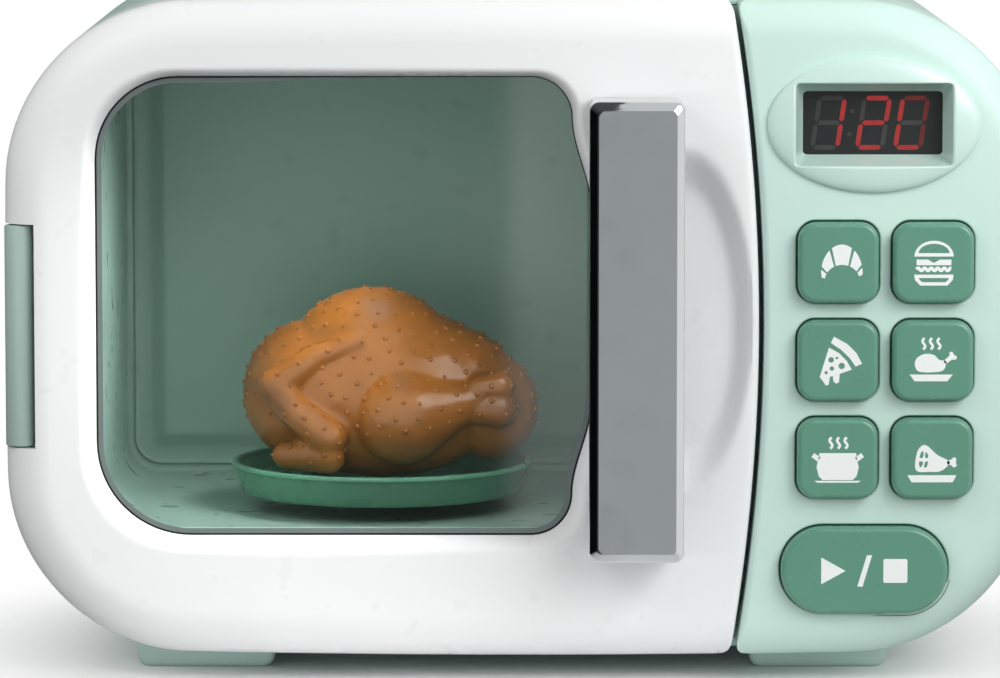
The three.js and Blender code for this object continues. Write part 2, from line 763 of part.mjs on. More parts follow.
function latchHook() {
  const footY = frameBackY + seatGap;
  const foot = box(
    hookX - hookFootWidth / 2, hookX + hookFootWidth / 2, footY, doorBackY,
    hookZ - hookFootHeight / 2, hookZ + hookFootHeight / 2,
  );
  const tongue = box(
    hookX - hookThickness / 2, hookX + hookThickness / 2, footY, doorBackY + hookReach,
    hookZ - hookHeight / 2, hookZ + hookHeight / 2,
  );
  return piece('latch_hook', joined(foot, tongue), 'nylon');
}

function latchCatch() {
  const topZ = hookZ - hookHeight / 2 - runGap;
  const frontSide = frontFrameBackY + seatGap;
  const keeper = box(
    hookX - catchWidth / 2, hookX + catchWidth / 2, frontSide, frontSide + catchDepth, topZ - catchHeight, topZ,
  );
  return piece('latch_catch', keeper, 'nylon');
}

// Turntable and its drive

const plateBottomZ = ovenFloor + plateRaise;
const gearTopZ = ovenFloor - linerWall - gearDrop;
const gearBottomZ = gearTopZ - gearHeight;
const housingTopZ = ovenFloor - linerWall - seatGap;
const housingBottomZ = gearBottomZ - runGap - housingFloor;
const pinionX = tableX + gearModule * (driveTeeth + pinionTeeth) / 2 + meshPlay;
const motorTopZ = housingBottomZ - seatGap;

// Depth and height of a tooth as shares of the module, and its half widths as shares of one pitch
const toothRootShare = 1.2;
const toothTipShare = 0.9;
const toothFootHalfShare = 0.3;
const toothTopHalfShare = 0.1;

function gearPoints(teeth, turn) {
  const pitch = gearModule * teeth / 2;
  const root = pitch - toothRootShare * gearModule;
  const tip = pitch + toothTipShare * gearModule;
  const step = 2 * Math.PI / teeth;
  const shares = [
    [root, -toothFootHalfShare], [tip, -toothTopHalfShare], [tip, toothTopHalfShare], [root, toothFootHalfShare],
  ];
  return Array.from({ length: teeth }, (_, tooth) => shares.map(([radius, share]) => {
    const angle = turn + (tooth + share) * step;
    return new THREE.Vector2(radius * Math.cos(angle), radius * Math.sin(angle));
  })).flat();
}

function driveGear() {
  const wheel = block(gearPoints(driveTeeth, 0), gearBottomZ, gearTopZ);
  const bore = rodAlongZ(0, 0, shaftRadius + seatGap, gearBottomZ - cutOverrun, gearTopZ + cutOverrun);
  const node = piece('drive_gear', cut(wheel, bore), 'nylon');
  node.position.set(tableX, tableY, 0);
  return node;
}

function turntableCoupler() {
  const headZ = ovenFloor + runGap;
  const headTopZ = plateBottomZ - seatGap;
  const lobes = Array.from({ length: roundSteps }, (_, i) => {
    const angle = 2 * Math.PI * i / roundSteps;
    const radius = couplerRadius - couplerLobe * (1 - Math.cos(couplerLobes * angle)) / 2;
    return new THREE.Vector2(radius * Math.cos(angle), radius * Math.sin(angle));
  });
  const head = block(lobes, headZ, headTopZ);
  const shaft = rodAlongZ(0, 0, shaftRadius, gearBottomZ - runGap / 2, headZ + runGap);
  const collarTop = ovenFloor - linerWall - runGap;
  const collar = rodAlongZ(0, 0, couplerRadius, gearTopZ + seatGap, collarTop, roundSteps);
  const node = piece('turntable_coupler', joined(head, shaft, collar), 'nylon');
  node.position.set(tableX, tableY, 0);
  return node;
}

function motorPinion() {
  // Half a tooth of turn puts a tooth of the pinion into a space of the wheel.
  const teeth = gearPoints(pinionTeeth, Math.PI + Math.PI / pinionTeeth);
  const wheel = block(teeth, gearBottomZ, gearBottomZ + pinionHeight);
  const bore = rodAlongZ(0, 0, motorShaftRadius + seatGap, gearBottomZ - cutOverrun, gearTopZ + pinionHeight);
  const node = piece('motor_pinion', cut(wheel, bore), 'nylon');
  node.position.set(pinionX, tableY, 0);
  return node;
}

function turntableMotor() {
  const can = rodAlongZ(0, 0, motorRadius, motorTopZ - motorHeight, motorTopZ, roundSteps);
  const shaft = rodAlongZ(0, 0, motorShaftRadius, motorTopZ - runGap, gearBottomZ + pinionHeight);
  const node = piece('turntable_motor', joined(can, shaft), 'steel');
  node.position.set(pinionX, tableY, 0);
  return node;
}

const gearScrewPlaces = [earReach, -earReach].map((reach) => [tableX, tableY + reach]);

function gearHousing() {
  const ears = gearScrewPlaces.map(([x, y]) => (
    rodAlongZ(x, y, earRadius, housingTopZ - housingFloor, housingTopZ)
  ));
  const wallTop = housingTopZ + cutOverrun;
  const floorTop = housingBottomZ + housingFloor;
  const drumRadius = gearRunRadius + housingWall;
  const sideRadius = pinionRunRadius + housingWall;
  const drum = rodAlongZ(tableX, tableY, drumRadius, housingBottomZ, housingTopZ, 2 * roundSteps);
  const side = rodAlongZ(pinionX, tableY, sideRadius, housingBottomZ, housingTopZ, roundSteps);
  const drumRoom = rodAlongZ(tableX, tableY, gearRunRadius, floorTop, wallTop, 2 * roundSteps);
  const sideRoom = rodAlongZ(pinionX, tableY, pinionRunRadius, floorTop, wallTop, roundSteps);
  const shaftHole = rodAlongZ(pinionX, tableY, motorShaftRadius + runGap, housingBottomZ - cutOverrun, wallTop);
  const screwHoles = gearScrewPlaces.map(([x, y]) => (
    rodAlongZ(x, y, screwShankRadius + seatGap, housingBottomZ - cutOverrun, wallTop)
  ));
  return piece(
    'gear_housing', cut(joined(drum, side, ...ears), drumRoom, sideRoom, shaftHole, ...screwHoles), 'nylon',
  );
}

// A screw from below, short of the oven floor
function gearScrew(name, x, y) {
  const headTop = housingTopZ - housingFloor - seatGap;
  const head = rodAlongZ(x, y, screwHeadRadius, headTop - screwHeadHeight, headTop);
  const shank = rodAlongZ(x, y, screwShankRadius, headTop - screwHeadHeight / 2, housingTopZ);
  return piece(name, joined(head, shank), 'steel');
}

function turntablePlate() {
  const rimTop = plateRimHeight;
  const foot = plateRadius - plateDraft;
  const dish = turned([
    [0, 0], [foot, 0], [plateRadius, rimTop], [plateRadius - plateRimWidth, rimTop],
    [foot - plateRimWidth, plateThickness], [0, plateThickness],
  ], 2 * roundSteps);
  const skirtZ = runGap - plateRaise;
  const skirt = rodAlongZ(0, 0, plateHubRadius, skirtZ, plateThickness / 2, roundSteps);
  const socket = rodAlongZ(0, 0, couplerRadius + runGap, skirtZ - cutOverrun, 0, roundSteps);
  const node = piece('turntable_plate', cut(joined(dish, skirt), socket), 'deepGreen');
  node.position.set(tableX, tableY, plateBottomZ);
  return node;
}

// Roast chicken, lying on its back with the neck end at the left.
// Shares of its length, width and height: centre x, y, z, then the half sizes of the lobe.
const chickenBodyShares = [
  [-0.013, 0, 0.47, 0.475, 0.43, 0.5],
  [-0.013, 0, 0.68, 0.29, 0.33, 0.32],
  [0.325, 0, 0.36, 0.175, 0.3, 0.3],
];
// A limb runs from one rounded end to the other: x, y, z and radius share of each end.
const chickenLimbShares = [
  [[0.086, 0.27, 0.337, 0.26], [0.3, 0.2, 0.43, 0.12]],
  [[0.3, 0.2, 0.43, 0.1], [0.4, 0.14, 0.48, 0.11]],
  [[-0.146, 0.33, 0.66, 0.08], [-0.39, 0.32, 0.41, 0.12]],
  [[-0.39, 0.32, 0.41, 0.12], [-0.21, 0.38, 0.13, 0.11]],
];

function limb(from, to, fromRadius, toRadius) {
  const axis = to.clone().sub(from);
  const length = axis.length();
  const quarter = Math.PI / 2;
  const lower = arc(0, 0, fromRadius, -quarter, 0, limbEndSteps);
  const upper = arc(0, length, toRadius, 0, quarter, limbEndSteps);
  const profile = [...lower, ...upper].map((point) => new THREE.Vector2(Math.max(point.x, 0), point.y));
  profile[0].x = 0;
  profile[profile.length - 1].x = 0;
  const geometry = new THREE.LatheGeometry(profile, limbSides);
  const turn = new THREE.Quaternion().setFromUnitVectors(new THREE.Vector3(0, 1, 0), axis.normalize());
  geometry.applyQuaternion(turn);
  geometry.translate(from.x, from.y, from.z);
  return solid(geometry);
}

function roastChicken() {
  const lobes = chickenBodyShares.map(([x, y, z, rx, ry, rz]) => (
    solid(new THREE.SphereGeometry(1, lobeSteps, lobeSteps / 2))
      .scale([rx * chickenLength, ry * chickenWidth, rz * chickenHeight])
      .translate([x * chickenLength, y * chickenWidth, z * chickenHeight])
  ));
  const limbs = [-1, 1].flatMap((side) => chickenLimbShares.map(([a, b]) => {
    const [from, to] = [a, b].map(([x, y, z]) => (
      new THREE.Vector3(x * chickenLength, side * y * chickenWidth, z * chickenHeight)
    ));
    return limb(from, to, a[3] * chickenHeight, b[3] * chickenHeight);
  }));
  const underside = box(-bodyWidth, bodyWidth, -bodyWidth, bodyWidth, -bodyWidth, 0);
  const node = piece('roast_chicken', cut(joined(...lobes, ...limbs), underside), 'brown');
  node.position.set(tableX + chickenOffset, tableY, plateBottomZ + plateThickness + seatGap);
  return node;
}

// Rear side, battery box and feet

const rearScrewPlaces = [[1, 1], [-1, 1], [-1, -1], [1, -1]].map(([sx, sz]) => (
  [sx * (bodyRight - rearScrewInsetX), bodyMiddleZ + sz * (bodyHeight / 2 - rearScrewInsetZ)]
));
const bayWidth = cellLength + 2 * (contactThickness + 2 * seatGap);
const bayHeight = cellCount * cellPitch;
const bayDoorWidth = bayWidth + 2 * batteryDoorLap;
const bayDoorHeight = bayHeight + 2 * batteryDoorLap;
const bayScrewZ = batteryZ - bayHeight / 2 - batteryDoorLap / 2;
const boxBackY = coverFrontY - seatGap;
const boxFrontY = boxBackY - boxDepth;
const cellY = boxFrontY + boxWall + seatGap + cellRadius;
const headSeatY = coverBackY - screwHeadHeight - seatGap;

function rearCover() {
  const plate = slab(bodyPoints(0), coverFrontY - 2 * rearEdge, coverBackY, rearEdge, rearEdge, 2);
  const ahead = box(-bodyWidth, bodyWidth, -bodyWidth, coverFrontY, -bodyWidth, 2 * bodyHeight);
  const doorSeat = slab(
    roundedPoints(batteryX, batteryZ, bayDoorWidth + 2 * runGap, bayDoorHeight + 2 * runGap, rearEdge, 3),
    coverBackY - batteryDoorThickness - seatGap, coverBackY + cutOverrun,
  );
  const bay = slab(
    roundedPoints(batteryX, batteryZ, bayWidth, bayHeight, rearEdge / 2, 3), coverFrontY - cutOverrun, coverBackY,
  );
  const middle = (grilleSlots - 1) / 2;
  const slots = Array.from({ length: grilleSlots }, (_, i) => {
    const length = grilleLength * (1 - Math.abs(i - middle) / (2 * grilleSlots));
    return slab(
      roundedPoints(speakerX, speakerZ + (i - middle) * grillePitch, length, grilleWidth, grilleWidth / 2, 3),
      coverFrontY - cutOverrun, coverBackY + cutOverrun,
    );
  });
  const counterbores = rearScrewPlaces.map(([x, z]) => (
    rodAlongY(x, z, screwHeadRadius + seatGap, headSeatY - seatGap, coverBackY + cutOverrun)
  ));
  const shankHoles = [...rearScrewPlaces, [batteryX, bayScrewZ]].map(([x, z]) => (
    rodAlongY(x, z, screwShankRadius + seatGap, coverFrontY - cutOverrun, coverBackY + cutOverrun)
  ));
  return piece('rear_cover', cut(plate, ahead, doorSeat, bay, ...slots, ...counterbores, ...shankHoles), 'mint');
}

function outerCase() {
  const shell = slab(bodyPoints(0), caseFrontY, caseBackY);
  const hollow = slab(bodyPoints(wall), caseFrontY - cutOverrun, caseBackY + cutOverrun);
  const bosses = rearScrewPlaces.map(([x, z]) => (
    rodAlongY(x, z, rearBossRadius, caseBackY - rearBossDepth, caseBackY - seatGap).intersect(shell)
  ));
  const holes = rearScrewPlaces.map(([x, z]) => (
    rodAlongY(x, z, screwShankRadius + seatGap, caseBackY - rearBossDepth - cutOverrun, caseBackY + cutOverrun)
  ));
  return piece('outer_case', cut(joined(cut(shell, hollow), ...bosses), ...holes), 'mint');
}

function speaker() {
  const rimBack = coverFrontY - seatGap;
  const disc = rodAlongY(speakerX, speakerZ, speakerRadius, rimBack - speakerDepth / 2, rimBack, roundSteps);
  const magnet = rodAlongY(speakerX, speakerZ, speakerRadius / 2, rimBack - speakerDepth, rimBack, roundSteps);
  return piece('speaker', joined(disc, magnet), 'dark');
}

function batteryBox() {
  const width = bayWidth + 2 * boxWall;
  const height = bayHeight + 2 * boxWall;
  const tray = box(
    batteryX - width / 2, batteryX + width / 2, boxFrontY, boxBackY, batteryZ - height / 2, batteryZ + height / 2,
  );
  const room = box(
    batteryX - bayWidth / 2, batteryX + bayWidth / 2, boxFrontY + boxWall, boxBackY + cutOverrun,
    batteryZ - bayHeight / 2, batteryZ + bayHeight / 2,
  );
  return piece('battery_box', cut(tray, room), 'dark');
}

function battery(index) {
  const cell = new THREE.CylinderGeometry(cellRadius, cellRadius, cellLength, roundSteps);
  cell.rotateZ(Math.PI / 2);
  const node = piece(`battery_${index + 1}`, solid(cell), 'cell');
  node.position.set(batteryX, cellY, batteryZ + (index - (cellCount - 1) / 2) * cellPitch);
  return node;
}

function batteryContact(name, side) {
  const plate = box(
    -contactThickness / 2, contactThickness / 2, cellY - cellRadius, cellY + cellRadius,
    batteryZ - bayHeight / 2 + seatGap, batteryZ + bayHeight / 2 - seatGap,
  );
  const node = piece(name, plate, 'steel');
  node.position.set(batteryX + side * (bayWidth - contactThickness - 2 * seatGap) / 2, 0, 0);
  return node;
}

function batteryDoor() {
  const lid = slab(
    roundedPoints(batteryX, batteryZ, bayDoorWidth, bayDoorHeight, rearEdge, 3),
    coverBackY - batteryDoorThickness, coverBackY,
  );
  const counterbore = rodAlongY(
    batteryX, bayScrewZ, screwHeadRadius + seatGap, headSeatY - seatGap, coverBackY + cutOverrun,
  );
  const hole = rodAlongY(batteryX, bayScrewZ, screwShankRadius + seatGap, coverFrontY, coverBackY);
  return piece('battery_door', cut(lid, counterbore, hole), 'mint');
}

function foot(name, x, y) {
  const half = footWidth / 2;
  const outline = [
    [half, footEdge], [half, footHeight + footEmbed], [-half, footHeight + footEmbed], [-half, footEdge],
    [footEdge - half, 0], [half - footEdge, 0],
  ].map(([px, pz]) => new THREE.Vector2(px + x, pz));
  const pad = slab(outline, y, y + footLength);
  return piece(name, cut(pad, slab(bodyPoints(-seatGap), y - cutOverrun, y + footLength + cutOverrun)), 'mint');
}

const footLeftX = bodyLeft + footLeftInset;
const footRightX = bodyRight - footRightInset;
const footFrontY = caseFrontY + footInset;
const footRearY = caseBackY - footInset - footLength;

const body = new THREE.Group();
body.add(
  outerCase(), frontFrame(), ovenLiner(), ovenLed(), controlPanel(), displayBezel(), displayModule(),
  keypadMembrane(), controlBoard(), hingeKnuckle(), latchCatch(),
  gearHousing(), turntableMotor(), rearCover(), speaker(), batteryBox(),
  batteryContact('contact_left', -1), batteryContact('contact_right', 1),
  foot('foot_front_left', footLeftX, footFrontY), foot('foot_front_right', footRightX, footFrontY),
  foot('foot_rear_left', footLeftX, footRearY), foot('foot_rear_right', footRightX, footRearY),
  ...Array.from({ length: cellCount }, (_, i) => battery(i)),
  ...rearScrewPlaces.map(([x, z], i) => screw(`rear_screw_${i + 1}`, x, headSeatY, z, rearScrewDepth)),
  ...gearScrewPlaces.map(([x, y], i) => gearScrew(`gear_screw_${i + 1}`, x, y)),
);

const door = new THREE.Group();
door.add(
  doorShell(), doorFrame(), windowPane(), doorHandle(), latchHook(),
  hingePin('hinge_pin_top', hingeTop, 1), hingePin('hinge_pin_bottom', hingeBottom, -1),
  ...doorScrewPlaces.map(([x, z], i) => screw(`door_screw_${i + 1}`, x, frameBackY + seatGap, z, screwLength)),
  screw('handle_screw_top', handleX, frontY + wall + seatGap, handleScrewPlaces[0], screwLength),
  screw('handle_screw_bottom', handleX, frontY + wall + seatGap, handleScrewPlaces[1], screwLength),
);

const turntable = new THREE.Group();
turntable.add(driveGear(), turntableCoupler(), turntablePlate(), roastChicken(), motorPinion());

const batteryLid = new THREE.Group();
batteryLid.add(batteryDoor(), screw('battery_door_screw', batteryX, headSeatY, bayScrewZ, screwLength / 2));

const toyMicrowave = new THREE.Group();
toyMicrowave.add(body, door, turntable, batteryLid, ...keys.map(key));

export default toyMicrowave;
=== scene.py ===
"""Looks of a toy microwave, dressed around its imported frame."""

import json
import random
from functools import lru_cache
from math import atan2, cos, hypot, pi, radians, sin, sqrt

import bmesh
import bpy
import numpy as np
from bpy.props import FloatProperty, FloatVectorProperty, IntProperty, PointerProperty
from mathutils import Matrix, Vector


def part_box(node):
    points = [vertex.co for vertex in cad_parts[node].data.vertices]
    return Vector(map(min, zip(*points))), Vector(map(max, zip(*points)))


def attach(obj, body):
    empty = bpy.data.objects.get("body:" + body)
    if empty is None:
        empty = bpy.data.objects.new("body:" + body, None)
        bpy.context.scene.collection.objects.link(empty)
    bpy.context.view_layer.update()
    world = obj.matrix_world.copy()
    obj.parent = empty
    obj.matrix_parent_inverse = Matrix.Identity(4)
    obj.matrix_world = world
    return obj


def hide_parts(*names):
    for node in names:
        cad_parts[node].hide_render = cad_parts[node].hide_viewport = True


bl_info = {
    "name": "Toy Microwave",
    "version": (1, 0, 0),
    "blender": (4, 5, 0),
    "location": "3D View > Sidebar > Toy Microwave",
    "description": "Builds the visible pieces of a toy microwave around its packed frame",
    "category": "Add Mesh",
}

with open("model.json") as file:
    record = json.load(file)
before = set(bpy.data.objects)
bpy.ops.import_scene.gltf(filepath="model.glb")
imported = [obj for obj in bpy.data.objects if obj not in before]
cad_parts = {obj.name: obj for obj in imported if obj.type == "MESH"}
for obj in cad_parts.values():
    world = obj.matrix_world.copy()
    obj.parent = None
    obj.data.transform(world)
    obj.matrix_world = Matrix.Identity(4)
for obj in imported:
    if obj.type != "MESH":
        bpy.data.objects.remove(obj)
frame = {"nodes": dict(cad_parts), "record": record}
MM = 0.001
SHARP_ANGLE = radians(40)
WELD_DISTANCE = 1e-4
FACE_STRIP = 0.2  # width of the narrow ring that keeps a flat face flat next to a rolled edge


def linear(red, green, blue):
    """Screen colour from 0 to 255 as the linear colour that a shader takes."""
    shares = [value / 255 for value in (red, green, blue)]
    return tuple(s / 12.92 if s <= 0.04045 else ((s + 0.055) / 1.055) ** 2.4 for s in shares)


def colour_setting(name, description, screen_colour):
    return FloatVectorProperty(
        name=name, description=description, default=linear(*screen_colour), subtype="COLOR", size=3, min=0, max=1,
    )


def length_setting(name, description, millimetres):
    return FloatProperty(
        name=name, description=description, default=millimetres * MM, min=0, unit="LENGTH", precision=4,
    )


class MicrowaveSettings(bpy.types.PropertyGroup):
    """Colours and small sizes of the toy that a user would change."""

    body_colour: colour_setting("Body", "Colour of the mint case, panel and feet", (200, 226, 217))
    door_colour: colour_setting("Door", "Colour of the white door", (239, 240, 240))
    liner_colour: colour_setting("Oven", "Colour of the oven liner", (156, 181, 172))
    key_colour: colour_setting("Keys", "Colour of the green keys", (92, 146, 124))
    icon_colour: colour_setting("Icons", "Colour of the printed pictures", (236, 239, 238))
    plate_colour: colour_setting("Plate", "Colour of the turntable plate", (92, 148, 122))
    roast_colour: colour_setting("Roast", "Colour of the roast chicken", (150, 88, 30))
    digit_colour: colour_setting("Digits", "Colour of the lit digits", (205, 45, 45))
    door_roll: length_setting("Door roll", "Width of the rolled outer edge of the door", 12)
    panel_roll: length_setting("Panel roll", "Width of the rolled outer edge of the panel", 10)
    seam_roll: length_setting("Seam roll", "Radius of the edges along the seam", 1.8)
    key_roll: length_setting("Key roll", "Radius of the rolled edges of the keys", 1.3)
    bump_height: length_setting("Skin bumps", "Height of the bumps on the skin of the roast", 0.6)
    bump_count: IntProperty(
        name="Bumps", description="Number of bumps on the skin of the roast", default=330, min=0, max=2000,
    )


def settings():
    return bpy.context.scene.toy_microwave


def in_mm(length):
    return length / MM


# Frame nodes in millimetres


@lru_cache(maxsize=None)
def node_box(node):
    """Lowest and highest corner of a frame node."""
    low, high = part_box(node)
    return low / MM, high / MM


def middle(node):
    """Middle of a frame node seen from the front, as x and z."""
    low, high = node_box(node)
    return (low.x + high.x) / 2, (low.z + high.z) / 2


def face_size(node):
    """Width and height of a frame node seen from the front."""
    low, high = node_box(node)
    return high.x - low.x, high.z - low.z


# Outlines: lists of (x, z) in millimetres, anticlockwise seen from the front


def arc_points(centre_x, centre_z, radius, start, end, steps):
    angles = [start + (end - start) * i / steps for i in range(steps + 1)]
    return [(centre_x + radius * cos(a), centre_z + radius * sin(a)) for a in angles]


def circle(radius, count):
    return [(radius * cos(2 * pi * i / count), radius * sin(2 * pi * i / count)) for i in range(count)]


def disc(x, z, radius, count=16):
    return [(x + px, z + pz) for px, pz in circle(radius, count)]


def rounded_outline(x, z, width, height, radius, steps):
    """Rectangle with rounded corners, each drawn in so many steps."""
    half_x = width / 2 - radius
    half_z = height / 2 - radius
    points = []
    for quarter, (sx, sz) in enumerate(((1, 1), (-1, 1), (-1, -1), (1, -1))):
        start = quarter * pi / 2
        points += arc_points(x + sx * half_x, z + sz * half_z, radius, start, start + pi / 2, steps)
    return points


def even_outline(points, count):
    """The closed outline walked again with evenly spaced points."""
    closed = points + points[:1]
    spans = [hypot(b[0] - a[0], b[1] - a[1]) for a, b in zip(closed, closed[1:])]
    step = sum(spans) / count
    walked = []
    place = 0
    passed = 0
    for a, b, span in zip(closed, closed[1:], spans):
        while place < passed + span - 1e-6 and len(walked) < count:
            share = (place - passed) / span
            walked.append((a[0] + (b[0] - a[0]) * share, a[1] + (b[1] - a[1]) * share))
            place += step
        passed += span
    return walked


def grown_outline(points, distance):
    """The outline moved outward by a distance along its own normals."""
    count = len(points)
    moved = []
    for i, (x, z) in enumerate(points):
        before = points[i - 1]
        after = points[(i + 1) % count]
        along_x, along_z = after[0] - before[0], after[1] - before[1]
        length = hypot(along_x, along_z) or 1
        moved.append((x + distance * along_z / length, z - distance * along_x / length))
    return moved


def drawn_to(points, targets, share):
    """Points moved towards their targets by a share of the way."""
    return [(x + (tx - x) * share, z + (tz - z) * share) for (x, z), (tx, tz) in zip(points, targets)]


# Rings: outlines at a depth


def at_depth(points, y):
    return [(x, y, z) for x, z in points]


def stepped(outline, *steps):
    """One ring for each (distance that the outline is drawn in, depth)."""
    return [at_depth(grown_outline(outline, -inset), y) for inset, y in steps]


def quarter_steps(radius, steps):
    """Points on a quarter circle, from (radius, 0) to (0, radius)."""
    turns = [pi / 2 * i / steps for i in range(steps + 1)]
    return [(radius * (1 - sin(turn)), radius * (1 - cos(turn))) for turn in turns]


def rolled_rings(outline, face_y, back_y, roll, steps):
    """Rings of a solid with a rolled face edge, from its back edge to a narrow strip of the face."""
    away = 1 if back_y > face_y else -1
    curve = [(inset, face_y + away * drop) for drop, inset in quarter_steps(roll, steps)]
    return stepped(outline, (0, back_y), *curve, (roll + FACE_STRIP, face_y))


def lip_rings(outline, face_y, lip, steps, inward):
    """Rings from a face over a rounded lip into a hole. Inward is 1 where the face looks to the front, else -1."""
    curve = [(-grow, face_y + inward * drop) for grow, drop in quarter_steps(lip, steps)]
    return stepped(outline, (-lip - FACE_STRIP, face_y), *curve)


def turned_rings(profile, count):
    """Rings round the Z axis from (radius, height) pairs."""
    return [[(x, y, height) for x, y in circle(radius, count)] for radius, height in profile]


# Meshes


def loft(bm, rings):
    """Skins rings with the same number of points by extruding each ring to the next one."""
    ring = [bm.verts.new(point) for point in rings[0]]
    first = ring
    edges = [bm.edges.new((a, b)) for a, b in zip(ring, ring[1:] + ring[:1])]
    for points in rings[1:]:
        made = bmesh.ops.extrude_edge_only(bm, edges=edges)["geom"]
        fresh = {item for item in made if isinstance(item, bmesh.types.BMVert)}
        edges = [item for item in made if isinstance(item, bmesh.types.BMEdge) and fresh.issuperset(item.verts)]
        ring = [next(e.other_vert(v) for e in v.link_edges if e.other_vert(v) in fresh) for v in ring]
        for vert, point in zip(ring, points):
            vert.co = point
    return first, ring


def cap(bm, *rings):
    """Fills the flat room inside the first ring and outside the other ones."""
    edges = []
    for ring in rings:
        for a, b in zip(ring, ring[1:] + ring[:1]):
            edges.append(next(e for e in a.link_edges if e.other_vert(a) is b))
    return bmesh.ops.triangle_fill(bm, edges=edges, use_beauty=True, use_dissolve=False)["geom"]


def solid_rings(bm, rings):
    """Lofts rings and closes both ends."""
    for ring in loft(bm, rings):
        cap(bm, ring)


def block(bm, low, high, roll):
    """Box between two corners with rolled edges."""
    size = Vector(high) - Vector(low)
    place = Matrix.Translation((Vector(high) + Vector(low)) / 2)
    made = bmesh.ops.create_cube(bm, size=1, matrix=place @ Matrix.Diagonal((*size, 1)))
    edges = list({edge for vert in made["verts"] for edge in vert.link_edges})
    bmesh.ops.bevel(
        bm, geom=edges, offset=roll, offset_type="OFFSET", segments=3, profile=0.5, affect="EDGES", material=-1,
    )


def linked_object(name, bm):
    """Makes an object from a bmesh and frees the bmesh."""
    mesh = bpy.data.meshes.new(name)
    bm.to_mesh(mesh)
    bm.free()
    made = bpy.data.objects.new(name, mesh)
    bpy.context.scene.collection.objects.link(made)
    return made


def new_piece(name, bm, body, look, node=None, smooth=True):
    """Makes a piece from a bmesh in millimetres, hangs it on its body and lets it replace its frame node."""
    bmesh.ops.remove_doubles(bm, verts=bm.verts, dist=WELD_DISTANCE)
    bmesh.ops.recalc_face_normals(bm, faces=bm.faces)
    bmesh.ops.scale(bm, vec=(MM, MM, MM), verts=bm.verts)
    for face in bm.faces:
        face.smooth = smooth
    piece = linked_object(name, bm)
    piece.data.set_sharp_from_angle(angle=SHARP_ANGLE)
    piece.data.materials.append(material(look))
    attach(piece, body)
    if node:
        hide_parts(node)
    return piece


def ring_piece(name, rings, body, look, node=None, closed=False):
    """Piece from rings: capped at both ends, or closed to a frame where the last ring meets the first one."""
    bm = bmesh.new()
    if closed:
        loft(bm, rings + rings[:1])
    else:
        solid_rings(bm, rings)
    return new_piece(name, bm, body, look, node)


def applied(piece):
    """Replaces the mesh of a piece by what its modifiers make of it."""
    made = bpy.data.meshes.new_from_object(piece.evaluated_get(bpy.context.evaluated_depsgraph_get()))
    piece.modifiers.clear()
    piece.data = made


def cutter_box(low, high):
    """A plain box in millimetres that serves only as a cutter."""
    size = Vector(high) - Vector(low)
    place = (Vector(high) + Vector(low)) / 2
    bm = bmesh.new()
    bmesh.ops.create_cube(bm, size=1, matrix=Matrix.Translation(place * MM) @ Matrix.Diagonal((*size * MM, 1)))
    return linked_object("cutter", bm)


def carved(piece, *cutters):
    """Cuts closed bodies out of a piece and removes the cutters."""
    for cutter in cutters:
        modifier = piece.modifiers.new("cut", "BOOLEAN")
        modifier.operation = "DIFFERENCE"
        modifier.solver = "EXACT"
        modifier.object = cutter
    applied(piece)
    for cutter in cutters:
        bpy.data.objects.remove(cutter)
    piece.data.set_sharp_from_angle(angle=SHARP_ANGLE)


# Materials

LOOK = "look_"
NOISE_LOW, NOISE_HIGH = 0.3, 0.7  # most of the noise lies between these
TONE_SCALE, POLISH_SCALE, GRAIN_SCALE = 25, 120, 1800  # of the noise on plastic
POLISH_SPREAD = 0.03
PANE_TINTS = (0.86, 0.90, 0.88), (0.88, 0.915, 0.895)
PANE_ROUGHNESS, PANE_IOR = 0.03, 2.1
FLOOR_TONES = (0.86, 0.865, 0.865), (0.88, 0.885, 0.885)
DIGIT_BASE, DIGIT_STRENGTH = (0.05, 0.01, 0.01, 1), 0.5


def feed(tree, node, inputs):
    """Sets inputs of a node, or links them where the output of another node is given."""
    for name, value in inputs.items():
        if isinstance(value, bpy.types.NodeSocket):
            tree.links.new(value, node.inputs[name])
        else:
            node.inputs[name].default_value = value


def add_node(tree, kind, inputs, **options):
    node = tree.nodes.new("ShaderNode" + kind)
    for name, value in options.items():
        setattr(node, name, value)
    feed(tree, node, inputs)
    return node


def material_tree(name):
    """A new node material. Its name keeps it apart from the flat material of that slot in the frame."""
    made = bpy.data.materials.new(LOOK + name)
    made.use_nodes = True
    return made.node_tree, made.node_tree.nodes["Principled BSDF"]


def material(name):
    return bpy.data.materials[LOOK + name]


def coordinates(tree, kind):
    return tree.nodes.new("ShaderNodeTexCoord").outputs[kind]


def noise(tree, scale, detail=2.0):
    """Noise over the object's own coordinates, which are in metres."""
    inputs = {"Scale": scale, "Detail": detail, "Vector": coordinates(tree, "Object")}
    return add_node(tree, "TexNoise", inputs).outputs["Fac"]


def ramp(tree, factor, stops):
    """Colour ramp from (place, colour) stops."""
    node = tree.nodes.new("ShaderNodeValToRGB")
    while len(node.color_ramp.elements) < len(stops):
        node.color_ramp.elements.new(0.5)
    for element, (place, colour) in zip(node.color_ramp.elements, stops):
        element.position = place
        element.color = (*colour, 1)
    tree.links.new(factor, node.inputs["Fac"])
    return node.outputs["Color"]


def drift(tree, scale, dark, light):
    """A colour that drifts between two colours over the object."""
    return ramp(tree, noise(tree, scale), ((NOISE_LOW, dark), (NOISE_HIGH, light)))


def ranged(tree, factor, low, high):
    """Noise spread over a range of values."""
    inputs = {"From Min": NOISE_LOW, "From Max": NOISE_HIGH, "To Min": low, "To Max": high, "Value": factor}
    return add_node(tree, "MapRange", inputs).outputs["Result"]


def mixed_shaders(tree, share, first, second):
    """The first shader where the share is 0 and the second one where it is 1."""
    return add_node(tree, "MixShader", {0: share, 1: first, 2: second}).outputs["Shader"]


